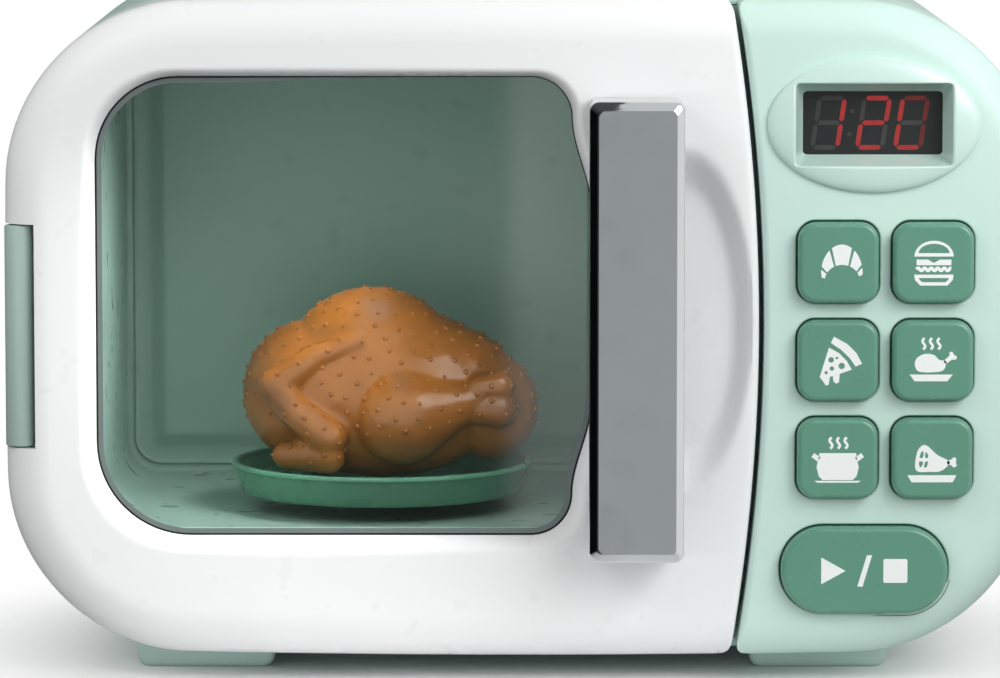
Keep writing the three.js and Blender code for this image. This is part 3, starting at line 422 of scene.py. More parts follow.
def shaded(colour, share):
    return tuple(min(1, channel * share) for channel in colour[:3])


def grained(tree, scale, depth, strength=0.3):
    """A fine relief, with its depth in millimetres."""
    inputs = {"Distance": depth * MM, "Strength": strength, "Height": noise(tree, scale, 4)}
    return add_node(tree, "Bump", inputs).outputs["Normal"]


def plastic(name, colour, roughness, mottle=0.015, grain=0.015, metallic=0.0, specular=0.35):
    """Moulded plastic: a faint drift of tone, a faint change of polish and a fine grain."""
    tree, shader = material_tree(name)
    feed(tree, shader, {
        "Base Color": drift(tree, TONE_SCALE, shaded(colour, 1 - mottle), shaded(colour, 1 + mottle)),
        "Roughness": ranged(tree, noise(tree, POLISH_SCALE), roughness - POLISH_SPREAD, roughness + POLISH_SPREAD),
        "Metallic": metallic,
        "Specular IOR Level": specular,
        "Normal": grained(tree, GRAIN_SCALE, grain),
    })


def smoky_pane(name):
    """Tinted clear plastic: light goes through tinted, and the surface reflects more at a slant."""
    tree, shader = material_tree(name)
    tree.nodes.remove(shader)
    tint = drift(tree, 12, *PANE_TINTS)
    clear = add_node(tree, "BsdfTransparent", {"Color": tint}).outputs["BSDF"]
    gloss = add_node(tree, "BsdfGlossy", {"Roughness": PANE_ROUGHNESS}).outputs["BSDF"]
    slant = add_node(tree, "Fresnel", {"IOR": PANE_IOR}).outputs["Fac"]
    feed(tree, tree.nodes["Material Output"], {"Surface": mixed_shaders(tree, slant, clear, gloss)})


def roast_skin(name, colour):
    """Brown plastic that is darker in blotches and a little glossy."""
    tree, shader = material_tree(name)
    stops = ((0.32, shaded(colour, 0.55)), (0.48, shaded(colour, 1)), (0.68, shaded(colour, 1.25)))
    feed(tree, shader, {
        "Base Color": ramp(tree, noise(tree, 38, 3), stops),
        "Roughness": ranged(tree, noise(tree, 90), 0.26, 0.4),
        "Coat Weight": 0.2,
        "Coat Roughness": 0.2,
        "Normal": grained(tree, 420, 0.25, 0.5),
    })


def lit_digit(name, colour):
    """Lit segment of the display, a little brighter in places."""
    tree, shader = material_tree(name)
    feed(tree, shader, {
        "Emission Color": drift(tree, 260, shaded(colour, 0.85), shaded(colour, 1.1)),
        "Base Color": DIGIT_BASE,
        "Emission Strength": DIGIT_STRENGTH,
    })


# Looks that a user wouldn't change: screen colour, then roughness, mottle, grain and metallic as plastic() takes them
PLAIN_PLASTICS = {
    "black_plastic": ((34, 36, 37), 0.42, 0.05),
    "display_face": ((40, 42, 42), 0.34, 0.05),
    "ghost_segment": ((62, 61, 61), 0.4, 0.05),
    "seal_rubber": ((10, 13, 13), 0.5, 0.1),
    "pane_edge": ((112, 122, 120), 0.4, 0.05),
    "board_laminate": ((38, 108, 70), 0.5, 0.12),
    "nylon": ((228, 226, 214), 0.5, 0.03),
    "cell_steel": ((150, 154, 160), 0.35, 0.05, 0.015, 0.7),
    "bright_steel": ((186, 188, 190), 0.28, 0.05, 0.015, 1.0),
    "chrome_plate": ((214, 217, 219), 0.045, 0.015, 0.002, 1.0),
}
DIM_DIGIT = 0.25  # brightness of the dim segments beside the lit ones
HINGE_PAINTED_SHADE = 0.68  # the hinge's mint is darkened as painted shade: the shade of the notch it sits in at the left side


class TOY_OT_materials(bpy.types.Operator):
    """Makes the materials that all pieces share"""

    bl_idname = "toy.materials"
    bl_label = "Materials"

    def execute(self, context):
        chosen = settings()
        plastic("mint_plastic", chosen.body_colour, 0.36)
        plastic("bezel_plastic", chosen.body_colour, 0.2, specular=0.9)
        # painted shade: the hinge takes the body's mint, darkened for the shade of its notch
        plastic("hinge_plastic", shaded(chosen.body_colour, HINGE_PAINTED_SHADE), 0.4)
        plastic("liner_plastic", chosen.liner_colour, 0.3)
        plastic("white_plastic", chosen.door_colour, 0.3, mottle=0.006)
        plastic("green_plastic", chosen.key_colour, 0.26, mottle=0.03, specular=0.8)
        plastic("plate_plastic", chosen.plate_colour, 0.28, mottle=0.03)
        plastic("icon_print", chosen.icon_colour, 0.5, mottle=0.01)
        for name, (colour, *finish) in PLAIN_PLASTICS.items():
            plastic(name, linear(*colour), *finish)
        smoky_pane("smoky_pane")
        roast_skin("roast_plastic", chosen.roast_colour)
        lit_digit("lit_digit", chosen.digit_colour)
        lit_digit("dim_digit", shaded(chosen.digit_colour, DIM_DIGIT))
        return {"FINISHED"}


# Stage: floor, world, lights and camera

# Light on the object by height, from below to above
AROUND = ((0.3, (0.26, 0.27, 0.27)), (0.5, (0.52, 0.53, 0.53)), (0.8, (0.76, 0.77, 0.77)))
AROUND_STRENGTH = 0.78
# What glossy surfaces mirror: a room that is dark at the left and white at the right, and pale above
MIRRORED_SIDES = (
    (0, (0.02, 0.03, 0.03)), (0.24, (0.02, 0.03, 0.03)), (0.34, (0.3, 0.32, 0.32)), (0.42, (0.44, 0.46, 0.46)),
    (0.58, (0.44, 0.46, 0.46)), (0.74, (0.6, 0.62, 0.62)), (0.82, (1, 1, 1)),
)
MIRRORED_ABOVE = ((0.54, (0, 0, 0)), (0.8, (0.8, 0.82, 0.82)))
MIRRORED_LEFT, MIRRORED_RIGHT = 0.1, 0.92  # strengths of the two halves of that room
HALF_EDGE = 0.003  # how sharp the line between them is


def world_light():
    """White for the camera, and for all other rays soft light that comes mostly from above and the right."""
    world = bpy.data.worlds.new("studio")
    bpy.context.scene.world = world
    world.use_nodes = True
    tree = world.node_tree
    tree.nodes.clear()
    parts = add_node(tree, "SeparateXYZ", {"Vector": coordinates(tree, "Generated")}).outputs
    height, side = (
        add_node(tree, "MapRange", {"From Min": -1, "Value": parts[axis]}).outputs["Result"] for axis in "ZX"
    )
    lighter = {
        "Factor": 1, "A": ramp(tree, side, MIRRORED_SIDES), "B": ramp(tree, height, MIRRORED_ABOVE),
    }
    seen = add_node(tree, "Mix", lighter, data_type="RGBA", blend_type="LIGHTEN").outputs["Result"]
    halves = {"From Max": HALF_EDGE, "To Min": MIRRORED_LEFT, "To Max": MIRRORED_RIGHT, "Value": parts["X"]}
    strength = add_node(tree, "MapRange", halves).outputs["Result"]
    soft, mirrored, white = (
        add_node(tree, "Background", {"Color": colour, "Strength": power}).outputs["Background"]
        for colour, power in ((ramp(tree, height, AROUND), AROUND_STRENGTH), (seen, strength), ((1, 1, 1, 1), 1))
    )
    path = tree.nodes.new("ShaderNodeLightPath").outputs
    shader = mixed_shaders(tree, path["Is Glossy Ray"], soft, mirrored)
    shader = mixed_shaders(tree, path["Is Camera Ray"], shader, white)
    add_node(tree, "OutputWorld", {"Surface": shader})


# Size of the floor and the distances at which it fades out, in metres
FLOOR_RADIUS, FADE_START, FADE_END = 0.4, 0.08, 0.19


def floor_paint():
    """White floor that keeps the shadow of the object and fades into the white around it."""
    tree, shader = material_tree("floor_paint")
    tone = drift(tree, 3, *FLOOR_TONES)
    feed(tree, shader, {"Base Color": tone, "Roughness": 0.8})
    distance = add_node(tree, "VectorMath", {0: coordinates(tree, "Object")}, operation="LENGTH").outputs["Value"]
    inputs = {"From Min": FADE_START, "From Max": FADE_END, "Value": distance}
    fade = add_node(tree, "MapRange", inputs, interpolation_type="SMOOTHSTEP").outputs["Result"]
    clear = tree.nodes.new("ShaderNodeBsdfTransparent").outputs["BSDF"]
    surface = mixed_shaders(tree, fade, shader.outputs["BSDF"], clear)
    feed(tree, tree.nodes["Material Output"], {"Surface": surface})


def stage_floor():
    bm = bmesh.new()
    bmesh.ops.create_circle(bm, cap_ends=True, segments=64, radius=FLOOR_RADIUS)
    floor = linked_object("floor", bm)
    floor_paint()
    floor.data.materials.append(material("floor_paint"))
    return floor


def area_light(name, place, aim, width, height, watts):
    data = bpy.data.lights.new(name, "AREA")
    data.shape = "RECTANGLE"
    data.size = width
    data.size_y = height
    data.energy = watts
    light = bpy.data.objects.new(name, data)
    light.location = place
    light.rotation_euler = (Vector(place) - aim).to_track_quat("Z", "Y").to_euler()
    bpy.context.scene.collection.objects.link(light)
    return light


def room_lights(aim):
    """The five lights around the object. Places and sizes are in metres, and the powers in watts."""
    key = area_light("key_light", (0.6, -0.95, 0.55), aim, 0.6, 0.6, 4.4)
    top = area_light("top_light", (0.1, 0.1, 1.6), aim, 1.4, 1.2, 1.2)
    fill = area_light("fill_light", (-0.6, -1.4, 0.08), aim, 0.9, 0.1, 2.1)
    left = area_light("left_light", (-0.3, -0.35, 0.4), Vector((-0.1, -0.06, 0.1)), 0.25, 0.15, 0.42)
    near = area_light("near_light", (0.24, -0.22, 0.26), Vector((0.11, -0.06, 0.14)), 0.12, 0.12, 0.26)
    near.visible_glossy = fill.visible_glossy = left.visible_glossy = False
    return key, top, fill, left, near


def oven_lights():
    """Three small lights in the mouth of the oven: a ceiling lamp, a soft glow and a spark at the right."""
    low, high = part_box("oven_liner")
    mouth = low.y - 12 * MM
    centre_x, centre_z = (low.x + high.x) / 2, (low.z + high.z) / 2
    lights = []
    for name, place, way, width, height, watts in (
        ("oven_lamp", (centre_x, mouth, high.z - 22 * MM), (-0.075, -0.003, -0.1), 0.12, 0.02, 0.15),
        ("oven_glow", (centre_x - 12 * MM, mouth, centre_z - 10 * MM), (0, 1, 0), 0.11, 0.07, 0.044),
        ("oven_spark", (low.x + 128 * MM, low.y - 2 * MM, low.z + 68 * MM), (-41, 20, -35), 0.02, 0.03, 0.012),
    ):
        light = area_light(name, place, Vector(place) + Vector(way), width, height, watts)
        light.visible_camera = False
        lights.append(light)
    lamp = lights[0]
    lamp.data.spread = radians(110)
    lamp.visible_glossy = False
    return lights


CAMERA_TILT = radians(6.2)
CAMERA_DISTANCE = 1.563
CAMERA_LENS = 212.3
AIM_LEFT, AIM_DROP = 5.77 * MM, 2.3 * MM  # the middle of the picture beside the middle of the case


def camera_aim():
    """The point in the middle of the picture, on the front of the door."""
    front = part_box("door_shell")[0].y
    low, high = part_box("outer_case")
    return Vector((-AIM_LEFT, front, (low.z + high.z) / 2 - AIM_DROP))


class TOY_OT_stage(bpy.types.Operator):
    """Sets up the floor, the light and the camera"""

    bl_idname = "toy.stage"
    bl_label = "Stage"

    def execute(self, context):
        scene = context.scene
        scene.view_settings.view_transform = "Standard"
        world_light()
        floor = stage_floor()
        aim = camera_aim()
        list(room_lights(aim))
        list(oven_lights())
        data = bpy.data.cameras.new("camera")
        data.lens = CAMERA_LENS
        camera = bpy.data.objects.new("camera", data)
        camera.location = aim + CAMERA_DISTANCE * Vector((0, -cos(CAMERA_TILT), sin(CAMERA_TILT)))
        camera.rotation_euler = (pi / 2 - CAMERA_TILT, 0, 0)
        scene.collection.objects.link(camera)
        scene.camera = camera
        return {"FINISHED"}


# Outlines of the body, the two fronts and the window

CORNER_RADIUS = 47
SIDE_CROWN = 1.3
TOP_CROWN = 2.3
BODY_POINTS = 720
SEAM_RADIUS = 520
SEAM_GAP = 1.4
SEAM_STEPS = 60
SEAM_CORNER, SEAM_PASSES = 4, 5  # the outline's corners at the seam: how far and how often they are softened
WALL = 2.5
PANE_LAP = 2.4
WINDOW_BULGE = 5
BULGE_RUN = 24
BULGE_STEPS = 24
WINDOW_TOP_RADIUS = 22
WINDOW_LOW_RADIUS = 25
WINDOW_RIGHT_RADIUS = 11
WINDOW_POINTS = 900


def body_outline(inset=0, count=480):
    """Rounded rectangle whose four sides swell a little."""
    width, height = face_size("outer_case")
    half_x = width / 2 - SIDE_CROWN - inset
    half_z = height / 2 - TOP_CROWN - inset
    points = even_outline(rounded_outline(0, 0, 2 * half_x, 2 * half_z, CORNER_RADIUS - inset, 24), count)
    centre_z = middle("outer_case")[1]
    swollen = []
    for x, z in points:
        swell_x = 1 + SIDE_CROWN / half_x * (1 - (z / half_z) ** 2)
        swell_z = 1 + TOP_CROWN / half_z * (1 - (x / half_x) ** 2)
        swollen.append((x * swell_x, centre_z + z * swell_z))
    return swollen


def seam_apex():
    """The rightmost x of the line between door and panel."""
    return node_box("door_shell")[1].x + SEAM_GAP / 2


def seam_x(z):
    """The line between door and panel: an arc that bulges to the right."""
    return seam_apex() - SEAM_RADIUS + sqrt(SEAM_RADIUS ** 2 - (z - middle("outer_case")[1]) ** 2)


def softened(points, corners, reach, passes):
    """Rounds the outline near some corners by averaging neighbours."""
    for _ in range(passes):
        moved = list(points)
        for i, (x, z) in enumerate(points):
            if min(hypot(x - cx, z - cz) for cx, cz in corners) < reach:
                before, after = points[i - 1], points[(i + 1) % len(points)]
                moved[i] = ((before[0] + after[0]) / 2, (before[1] + after[1]) / 2)
        points = moved
    return points


def front_outline(side, count, inset=0.0, seam_inset=None):
    """The part of the body outline on one side of the seam: -1 for the door, 1 for the panel."""
    ring = body_outline(inset, BODY_POINTS)
    edge = side * (SEAM_GAP / 2 + (inset if seam_inset is None else seam_inset))
    kept = [side * (x - seam_x(z) - edge) > 0.2 for x, z in ring]
    first = next(i for i, keep in enumerate(kept) if keep and not kept[i - 1])
    run = [point for point, keep in zip(ring[first:] + ring[:first], kept[first:] + kept[:first]) if keep]
    start_z, end_z = run[-1][1], run[0][1]
    seam = [start_z + (end_z - start_z) * i / SEAM_STEPS for i in range(SEAM_STEPS + 1)]
    points = even_outline(run + [(seam_x(z) + edge, z) for z in seam], count)
    corners = [(seam_x(z) + edge, z) for z in (start_z, end_z)]
    return softened(points, corners, SEAM_CORNER, SEAM_PASSES)


def window_outline(grow=0.0, count=480):
    """The pane's opening: narrower at its right corners than beside the handle."""
    low, high = node_box("window_pane")
    left, bottom = low.x + PANE_LAP - grow, low.z + PANE_LAP - grow
    top = high.z - PANE_LAP + grow
    right = high.x - PANE_LAP - WINDOW_BULGE + grow
    top_r, low_r, right_r = (r + grow for r in (WINDOW_TOP_RADIUS, WINDOW_LOW_RADIUS, WINDOW_RIGHT_RADIUS))
    bulge = []
    for i in range(BULGE_STEPS + 1):
        share = i / BULGE_STEPS
        rise = WINDOW_BULGE * (3 * share ** 2 - 2 * share ** 3)
        bulge.append((right + rise, bottom + right_r + BULGE_RUN * share))
    mirrored = [(x, top + bottom - z) for x, z in reversed(bulge)]
    points = []
    for x, z, radius, start in (
        (right - right_r, top - right_r, right_r, 0),
        (left + top_r, top - top_r, top_r, pi / 2),
        (left + low_r, bottom + low_r, low_r, pi),
        (right - right_r, bottom + right_r, right_r, 1.5 * pi),
    ):
        points += arc_points(x, z, radius, start, start + pi / 2, 16)
    return even_outline(points + bulge[1:] + mirrored[:-1], count)


def ray_hits(centre, targets, outline):
    """For each target the point where the line from the centre to it crosses the outline."""
    closed = list(zip(outline, outline[1:] + outline[:1]))
    hits = []
    for tx, tz in targets:
        ux, uz = tx - centre[0], tz - centre[1]
        for (ax, az), (bx, bz) in closed:
            ax, az, bx, bz = ax - centre[0], az - centre[1], bx - centre[0], bz - centre[1]
            side_a, side_b = ux * az - uz * ax, ux * bz - uz * bx
            if side_a <= 0 < side_b and ux * (ax + bx) + uz * (az + bz) > 0:
                share = side_a / (side_a - side_b)
                hits.append((centre[0] + ax + (bx - ax) * share, centre[1] + az + (bz - az) * share))
                break
        else:
            raise ValueError("a line from the centre doesn't cross the outline")
    return hits


def outline_distance(points, outline):
    """Distance of each point from a closed outline."""
    spots = np.array(points)[:, None, :]
    starts = np.array(outline)[None, :, :]
    spans = np.roll(starts, -1, axis=1) - starts
    share = ((spots - starts) * spans).sum(2) / (spans ** 2).sum(2)
    nearest = starts + spans * np.clip(share, 0, 1)[:, :, None]
    return np.linalg.norm(spots - nearest, axis=2).min(1)


def rolled_drop(distance, width, depth):
    """How far a rolled edge has fallen back at a distance from its rim."""
    share = min(1.0, max(0.0, 1 - distance / width))
    return depth * (1 - sqrt(1 - share ** 2))


def edge_drop(to_edge, roll, depth, to_seam, seam_roll):
    """How far a front has fallen back between its rolled outer edge and its edge at the seam."""
    at_seam = rolled_drop(to_seam, seam_roll, seam_roll)
    return (rolled_drop(to_edge, roll, depth) ** 3 + at_seam ** 3) ** (1 / 3)


# Door

ROLL_DEPTH = 9
SCOOP_INSET = 20.3
SCOOP_RISE = 2.2
SCOOP_HALF_WIDTH = 18.4
SCOOP_HALF_HEIGHT = 47
SCOOP_DEPTH = 6
SCOOP_FLOOR = 0.5
BEVEL_DEPTH = 4.3
BEVEL_REACH = 7
BEVEL_WIDTH, BEVEL_TOP_LESS, BEVEL_LEFT_MORE = 3.9, 1.4, 0.6
ROLL_OVERRUN = 1.08  # the rings of the rolled edge reach a little past it
EDGE_LIMIT, BEVEL_LIMIT = 0.55, 0.35  # shares of the way that edge and slope may take up
NOTCH_GAP = 0.4
# Rings of the front: over the rolled edge, across the flat part and down the slope to the window
EDGE_RINGS, FLAT_RINGS, BEVEL_RINGS = 14, 34, 12
INNER_RINGS = slice(8, 52, 3)  # those that the inner side of the skin follows


def scoop_drop(x, z):
    """Depth of the finger scoop: a soft rim, a steep wall and a flat floor."""
    across = (x - seam_apex() + SCOOP_INSET) / SCOOP_HALF_WIDTH
    along = (z - middle("outer_case")[1] - SCOOP_RISE) / SCOOP_HALF_HEIGHT
    share = min(1.0, max(0.0, 1 - across ** 2 - along ** 2) / SCOOP_FLOOR)
    return SCOOP_DEPTH * share ** 2 * (3 - 2 * share)


def bevel_width(x, z, centre):
    """The slope around the window is wide at the left and below, narrow above."""
    angle = atan2(z - centre[1], x - centre[0])
    return BEVEL_WIDTH - BEVEL_TOP_LESS * sin(angle) + BEVEL_LEFT_MORE * max(0.0, -cos(angle))


def walked_way(number, span, roll):
    """How far a ring of the door's front has come on its way to the window, which is a given span long."""
    edge_reach = min(ROLL_OVERRUN * roll, EDGE_LIMIT * span)
    bevel_reach = min(BEVEL_REACH, BEVEL_LIMIT * span)
    last_edge = EDGE_RINGS - 1
    if number <= last_edge:
        return edge_reach * (number / last_edge) ** 1.7
    if number < EDGE_RINGS + FLAT_RINGS:
        return edge_reach + (span - bevel_reach - edge_reach) * (number - last_edge) / (FLAT_RINGS + 1)
    return span - bevel_reach * (1 - (number - EDGE_RINGS - FLAT_RINGS) / (BEVEL_RINGS - 1)) ** 1.2


def door_rings(roll, seam_roll):
    """Outline, window points and the rings of the door's front between them."""
    outline = front_outline(-1, 640)
    centre = middle("window_pane")
    window = ray_hits(centre, outline, window_outline(0, WINDOW_POINTS))
    front = node_box("door_shell")[0].y
    body = body_outline(0, BODY_POINTS)
    rings = []
    for number in range(EDGE_RINGS + FLAT_RINGS + BEVEL_RINGS):
        flat = []
        for (px, pz), (qx, qz) in zip(outline, window):
            span = hypot(qx - px, qz - pz)
            walked = walked_way(number, span, roll)
            flat.append((px + (qx - px) * walked / span, pz + (qz - pz) * walked / span, span - walked))
        to_edge = outline_distance([(x, z) for x, z, _ in flat], body)
        ring = []
        for (x, z, to_window), (qx, qz), edge in zip(flat, window, to_edge):
            drop = edge_drop(edge, roll, ROLL_DEPTH, seam_x(z) - SEAM_GAP / 2 - x, seam_roll)
            slope = max(0.0, 1 - to_window / bevel_width(qx, qz, centre))
            ring.append((x, front + drop + scoop_drop(x, z) + BEVEL_DEPTH * slope ** 2.2, z))
        rings.append(ring)
    return outline, window, rings


def hinge_notch(node, side_room, end_room):
    """Cutter that frees a door piece from the hinge knuckle."""
    low, high = node_box(node)
    knuckle_low, knuckle_high = node_box("hinge_knuckle")
    spare = 5
    return cutter_box(
        (low.x - spare, low.y - spare, knuckle_low.z - end_room),
        (knuckle_high.x + side_room, high.y + spare, knuckle_high.z + end_room),
    )


class TOY_OT_door_shell(bpy.types.Operator):
    """Builds the white front of the door with its window slope, finger scoop and hinge notch"""

    bl_idname = "toy.door_shell"
    bl_label = "Door shell"

    def execute(self, context):
        chosen = settings()
        outline, window, front_rings = door_rings(in_mm(chosen.door_roll), in_mm(chosen.seam_roll))
        back = node_box("door_shell")[1].y
        rim_back = node_box("window_pane")[0].y - 0.3
        ease = 0.4
        rings = stepped(outline, (WALL, back - ease), (WALL - ease, back), (ease, back), (0, back - ease))
        rings += front_rings
        rings += stepped(window, (0, rim_back), (-WALL, rim_back))
        for ring in reversed(front_rings[INNER_RINGS]):
            rings.append([(x, y + WALL + 0.3, z) for x, y, z in ring])
        shell = ring_piece("door_skin", rings, "door", "white_plastic", "door_shell", closed=True)
        carved(shell, hinge_notch("door_shell", NOTCH_GAP, NOTCH_GAP))
        return {"FINISHED"}


# Control panel, keys and display

START_KEY = "button_start"
KEYS = (
    "button_r1_left", "button_r1_right", "button_r2_left", "button_r2_right", "button_r3_left", "button_r3_right",
    START_KEY,
)
PANEL_DEPTH = 8
PANEL_RINGS = 16
PANEL_LIP = 0.5
PANEL_LIP_DEPTH = 1.5  # how far the holes reach in behind the panel
FLAT_START = 0.3  # how far past its rolled edge the panel is flat
KEY_GAP = 0.4
KEY_CORNER = 4.8
START_CORNER = 11.2
KEY_FLANGE = 1.2
FLANGE_DEPTH, FLANGE_THICKNESS = 6.9, 0.9  # behind the face of the key
BEZEL_HALF_WIDTH = 28.2
BEZEL_HALF_HEIGHT = 18.1
BEZEL_DOME = 3.6
RECESS_WIDTH = 41.3
RECESS_HEIGHT = 21.7
RECESS_GAP = 0.6
RECESS_CORNER = 1.2
SIGHT_WIDTH = 37
SIGHT_HEIGHT = 16.8


def key_outline(node, grow=0.0):
    """Outline of a key's cap. The node is wider than the cap by its flange."""
    width, height = face_size(node)
    wider = 2 * grow - 2 * KEY_FLANGE
    radius = START_CORNER if node == START_KEY else KEY_CORNER
    return rounded_outline(*middle(node), width + wider, height + wider, radius + grow, 14)


class TOY_OT_control_panel(bpy.types.Operator):
    """Builds the mint front panel with its rolled edges and its holes"""

    bl_idname = "toy.control_panel"
    bl_label = "Control panel"

    def execute(self, context):
        roll = in_mm(settings().panel_roll)
        seam_roll = in_mm(settings().seam_roll)
        low, high = node_box("control_panel")
        outline = front_outline(1, 400)
        inner = front_outline(1, 900, roll + FLAT_START, seam_roll + FLAT_START)
        targets = ray_hits(middle("control_panel"), outline, inner)
        body = body_outline(0, BODY_POINTS)
        rings = [at_depth(outline, high.y)]
        for number in range(PANEL_RINGS + 1):
            flat = drawn_to(outline, targets, (number / PANEL_RINGS) ** 1.6)
            ring = []
            for (x, z), edge in zip(flat, outline_distance(flat, body)):
                drop = edge_drop(edge, roll, PANEL_DEPTH, x - seam_x(z) - SEAM_GAP / 2, seam_roll)
                ring.append((x, low.y + drop, z))
            rings.append(ring)
        bm = bmesh.new()
        front = loft(bm, rings)[1]
        holes = [key_outline(node, KEY_GAP) for node in KEYS]
        recess = RECESS_WIDTH + RECESS_GAP, RECESS_HEIGHT + RECESS_GAP
        holes.append(rounded_outline(*middle("display_bezel"), *recess, 1.5, 3))
        mouths = []
        for hole in holes:
            lips = lip_rings(hole, low.y, PANEL_LIP, 4, 1) + [at_depth(hole, low.y + WALL + PANEL_LIP_DEPTH)]
            mouths.append(loft(bm, lips)[0])
        cap(bm, front, *mouths)
        new_piece("panel_skin", bm, "cabinet", "mint_plastic", "control_panel")
        return {"FINISHED"}


class TOY_OT_keys(bpy.types.Operator):
    """Builds the caps of the seven keys"""

    bl_idname = "toy.keys"
    bl_label = "Keys"

    def execute(self, context):
        roll = in_mm(settings().key_roll)
        for node in KEYS:
            face = node_box(node)[0].y
            flange = face + FLANGE_DEPTH
            rings = stepped(key_outline(node, KEY_FLANGE), (0, flange + FLANGE_THICKNESS), (0, flange))
            rings.append(at_depth(key_outline(node, 0.01), flange))
            rings += rolled_rings(key_outline(node), face, flange - 0.3, roll, 8)
            ring_piece(f"{node}_cap", rings, node, "green_plastic", node)
        return {"FINISHED"}


# Pictures: each is a list of shapes, and a shape is an outline and its holes, in millimetres around the key's middle


def stroke(points, width):
    """Outline of a line of a given width."""
    left = []
    right = []
    for i, (x, z) in enumerate(points):
        before, after = points[max(0, i - 1)], points[min(len(points) - 1, i + 1)]
        along_x, along_z = after[0] - before[0], after[1] - before[1]
        length = hypot(along_x, along_z)
        side_x, side_z = -along_z / length * width / 2, along_x / length * width / 2
        left.append((x + side_x, z + side_z))
        right.append((x - side_x, z - side_z))
    return left + right[::-1]


def curved(points, steps=6):
    """Closed smooth outline through a few points."""
    count = len(points)
    made = []
    for i in range(count):
        near = [points[(i + k - 1) % count] for k in range(4)]
        for k in range(steps):
            t = k / steps
            weights = (
                -t ** 3 + 2 * t ** 2 - t, 3 * t ** 3 - 5 * t ** 2 + 2, -3 * t ** 3 + 4 * t ** 2 + t, t ** 3 - t ** 2,
            )
            made.append(tuple(sum(w * p[axis] for w, p in zip(weights, near)) / 2 for axis in (0, 1)))
    return made


def with_mirror(points):
    """One half of an outline from its top to its bottom, closed by its mirror image."""
    return points + [(-x, z) for x, z in reversed(points)]


def arch(half_width, base, height):
    turns = [pi * i / 14 for i in range(15)]
    return [(half_width * cos(turn), base + height * sin(turn)) for turn in turns]


def steam(x, z):
    """Three wavy lines that rise from a hot dish."""
    lines = []
    for shift in (-2, 0, 2):
        wave = [(x + shift + 0.45 * sin(2 * pi * i / 12) + 0.03 * i, z + 3.0 * i / 12) for i in range(13)]
        lines.append([stroke(wave, 0.7)])
    return lines


def croissant():
    """Five segments of a bent roll that is thickest in its middle."""
    x, z = 0.9, -4.6
    shapes = []
    for start, end in ((172, 155), (149, 118), (112, 70), (64, 36), (30, 16)):
        outer = []
        inner = []
        for i in range(6):
            angle = start + (end - start) * i / 5
            swell = max(0.0, sin(radians(angle * 1.12 - 14)))
            across, up = cos(radians(angle)), sin(radians(angle))
            outer.append((x + (5.4 + 2.1 * swell) * across, z + (5.4 + 4.2 * swell) * up))
            inner.append((x + 4.6 * across, z + 4.2 * up))
        shapes.append([outer + inner[::-1]])
    return shapes


def burger():
    cheese = [(-4.6, 1.0), (-4.6, -0.5), (4.6, -0.5), (4.6, 1.0), (1.6, 1.0), (0, 0.1), (-1.6, 1.0)]
    salad = [(-4.6 + 9.2 * i / 32, -1.6 + 0.4 * sin(i * pi / 3)) for i in range(33)]
    low_bun = with_mirror([(-5.2, -3), (-5.0, -4.4), (-3.6, -5.9)])
    low_room = with_mirror([(-4.0, -3.9), (-3.7, -4.5), (-3.0, -5.0)])
    return [[arch(5.2, 1.8, 4.2), arch(4.1, 2.7, 2.5)], [cheese], [stroke(salad, 0.9)], [low_bun, low_room]]


def pizza():
    crust = [(-1.2, 6.6), (-2.0, 4.9), (0.6, 3.2), (3.0, 0.9), (4.6, -1.4), (6.3, -0.6), (4.8, 2.2), (2.4, 4.6)]
    slice_outline = [
        (-2.5, 3.7), (0.2, 2.2), (2.2, 0.2), (3.6, -2.2), (0.4, -3.3), (0.2, -5.6), (-0.7, -5.9), (-1.3, -5.2),
        (-1.4, -3.9), (-2.2, -4.1), (-2.5, -6.2), (-3.3, -6.4), (-3.8, -5.6), (-4.9, -4.2),
    ]
    holes = ((-1.9, 0.4, 0.75), (0.9, -1.2, 0.85), (-1.7, -1.9, 0.6), (-3.2, -3.0, 0.45), (-0.4, 0.9, 0.35))
    return [[crust], [slice_outline, *(disc(*hole) for hole in holes)]]


def roast_dish():
    bird = [
        (-4.8, -1.2), (-4.4, 0.8), (-2.2, 2.0), (0.2, 1.7), (1.6, 0.4), (3.2, 0.2), (3.4, -0.6), (2.2, -2.6),
        (-3.4, -2.8),
    ]
    bone = [
        (2.9, 0.2), (4.2, 1.5), (4.3, 2.4), (5.1, 2.5), (5.4, 1.8), (6.2, 1.3), (6.0, 0.5), (4.9, 0.4), (3.4, -0.6),
    ]
    plate = [(-6.2, -3.5), (5.2, -3.5), (3.8, -5.3), (-4.9, -5.3)]
    return [[curved(bird)], [curved(bone)], [plate]] + steam(-0.7, 3.2)


def pot():
    body = with_mirror([(4.9, 1.6), (5.0, 0.6), (5.6, -2.2), (5.0, -4.6), (4.0, -5.6)])
    grips = [[stroke([(side * 5.0, -0.1), (side * 6.6, 1.1)], 1.3)] for side in (-1, 1)]
    base = with_mirror([(-6.2, -5.8), (-5.4, -6.3)])
    return [[body], *grips, [base]] + steam(0, 2.8)


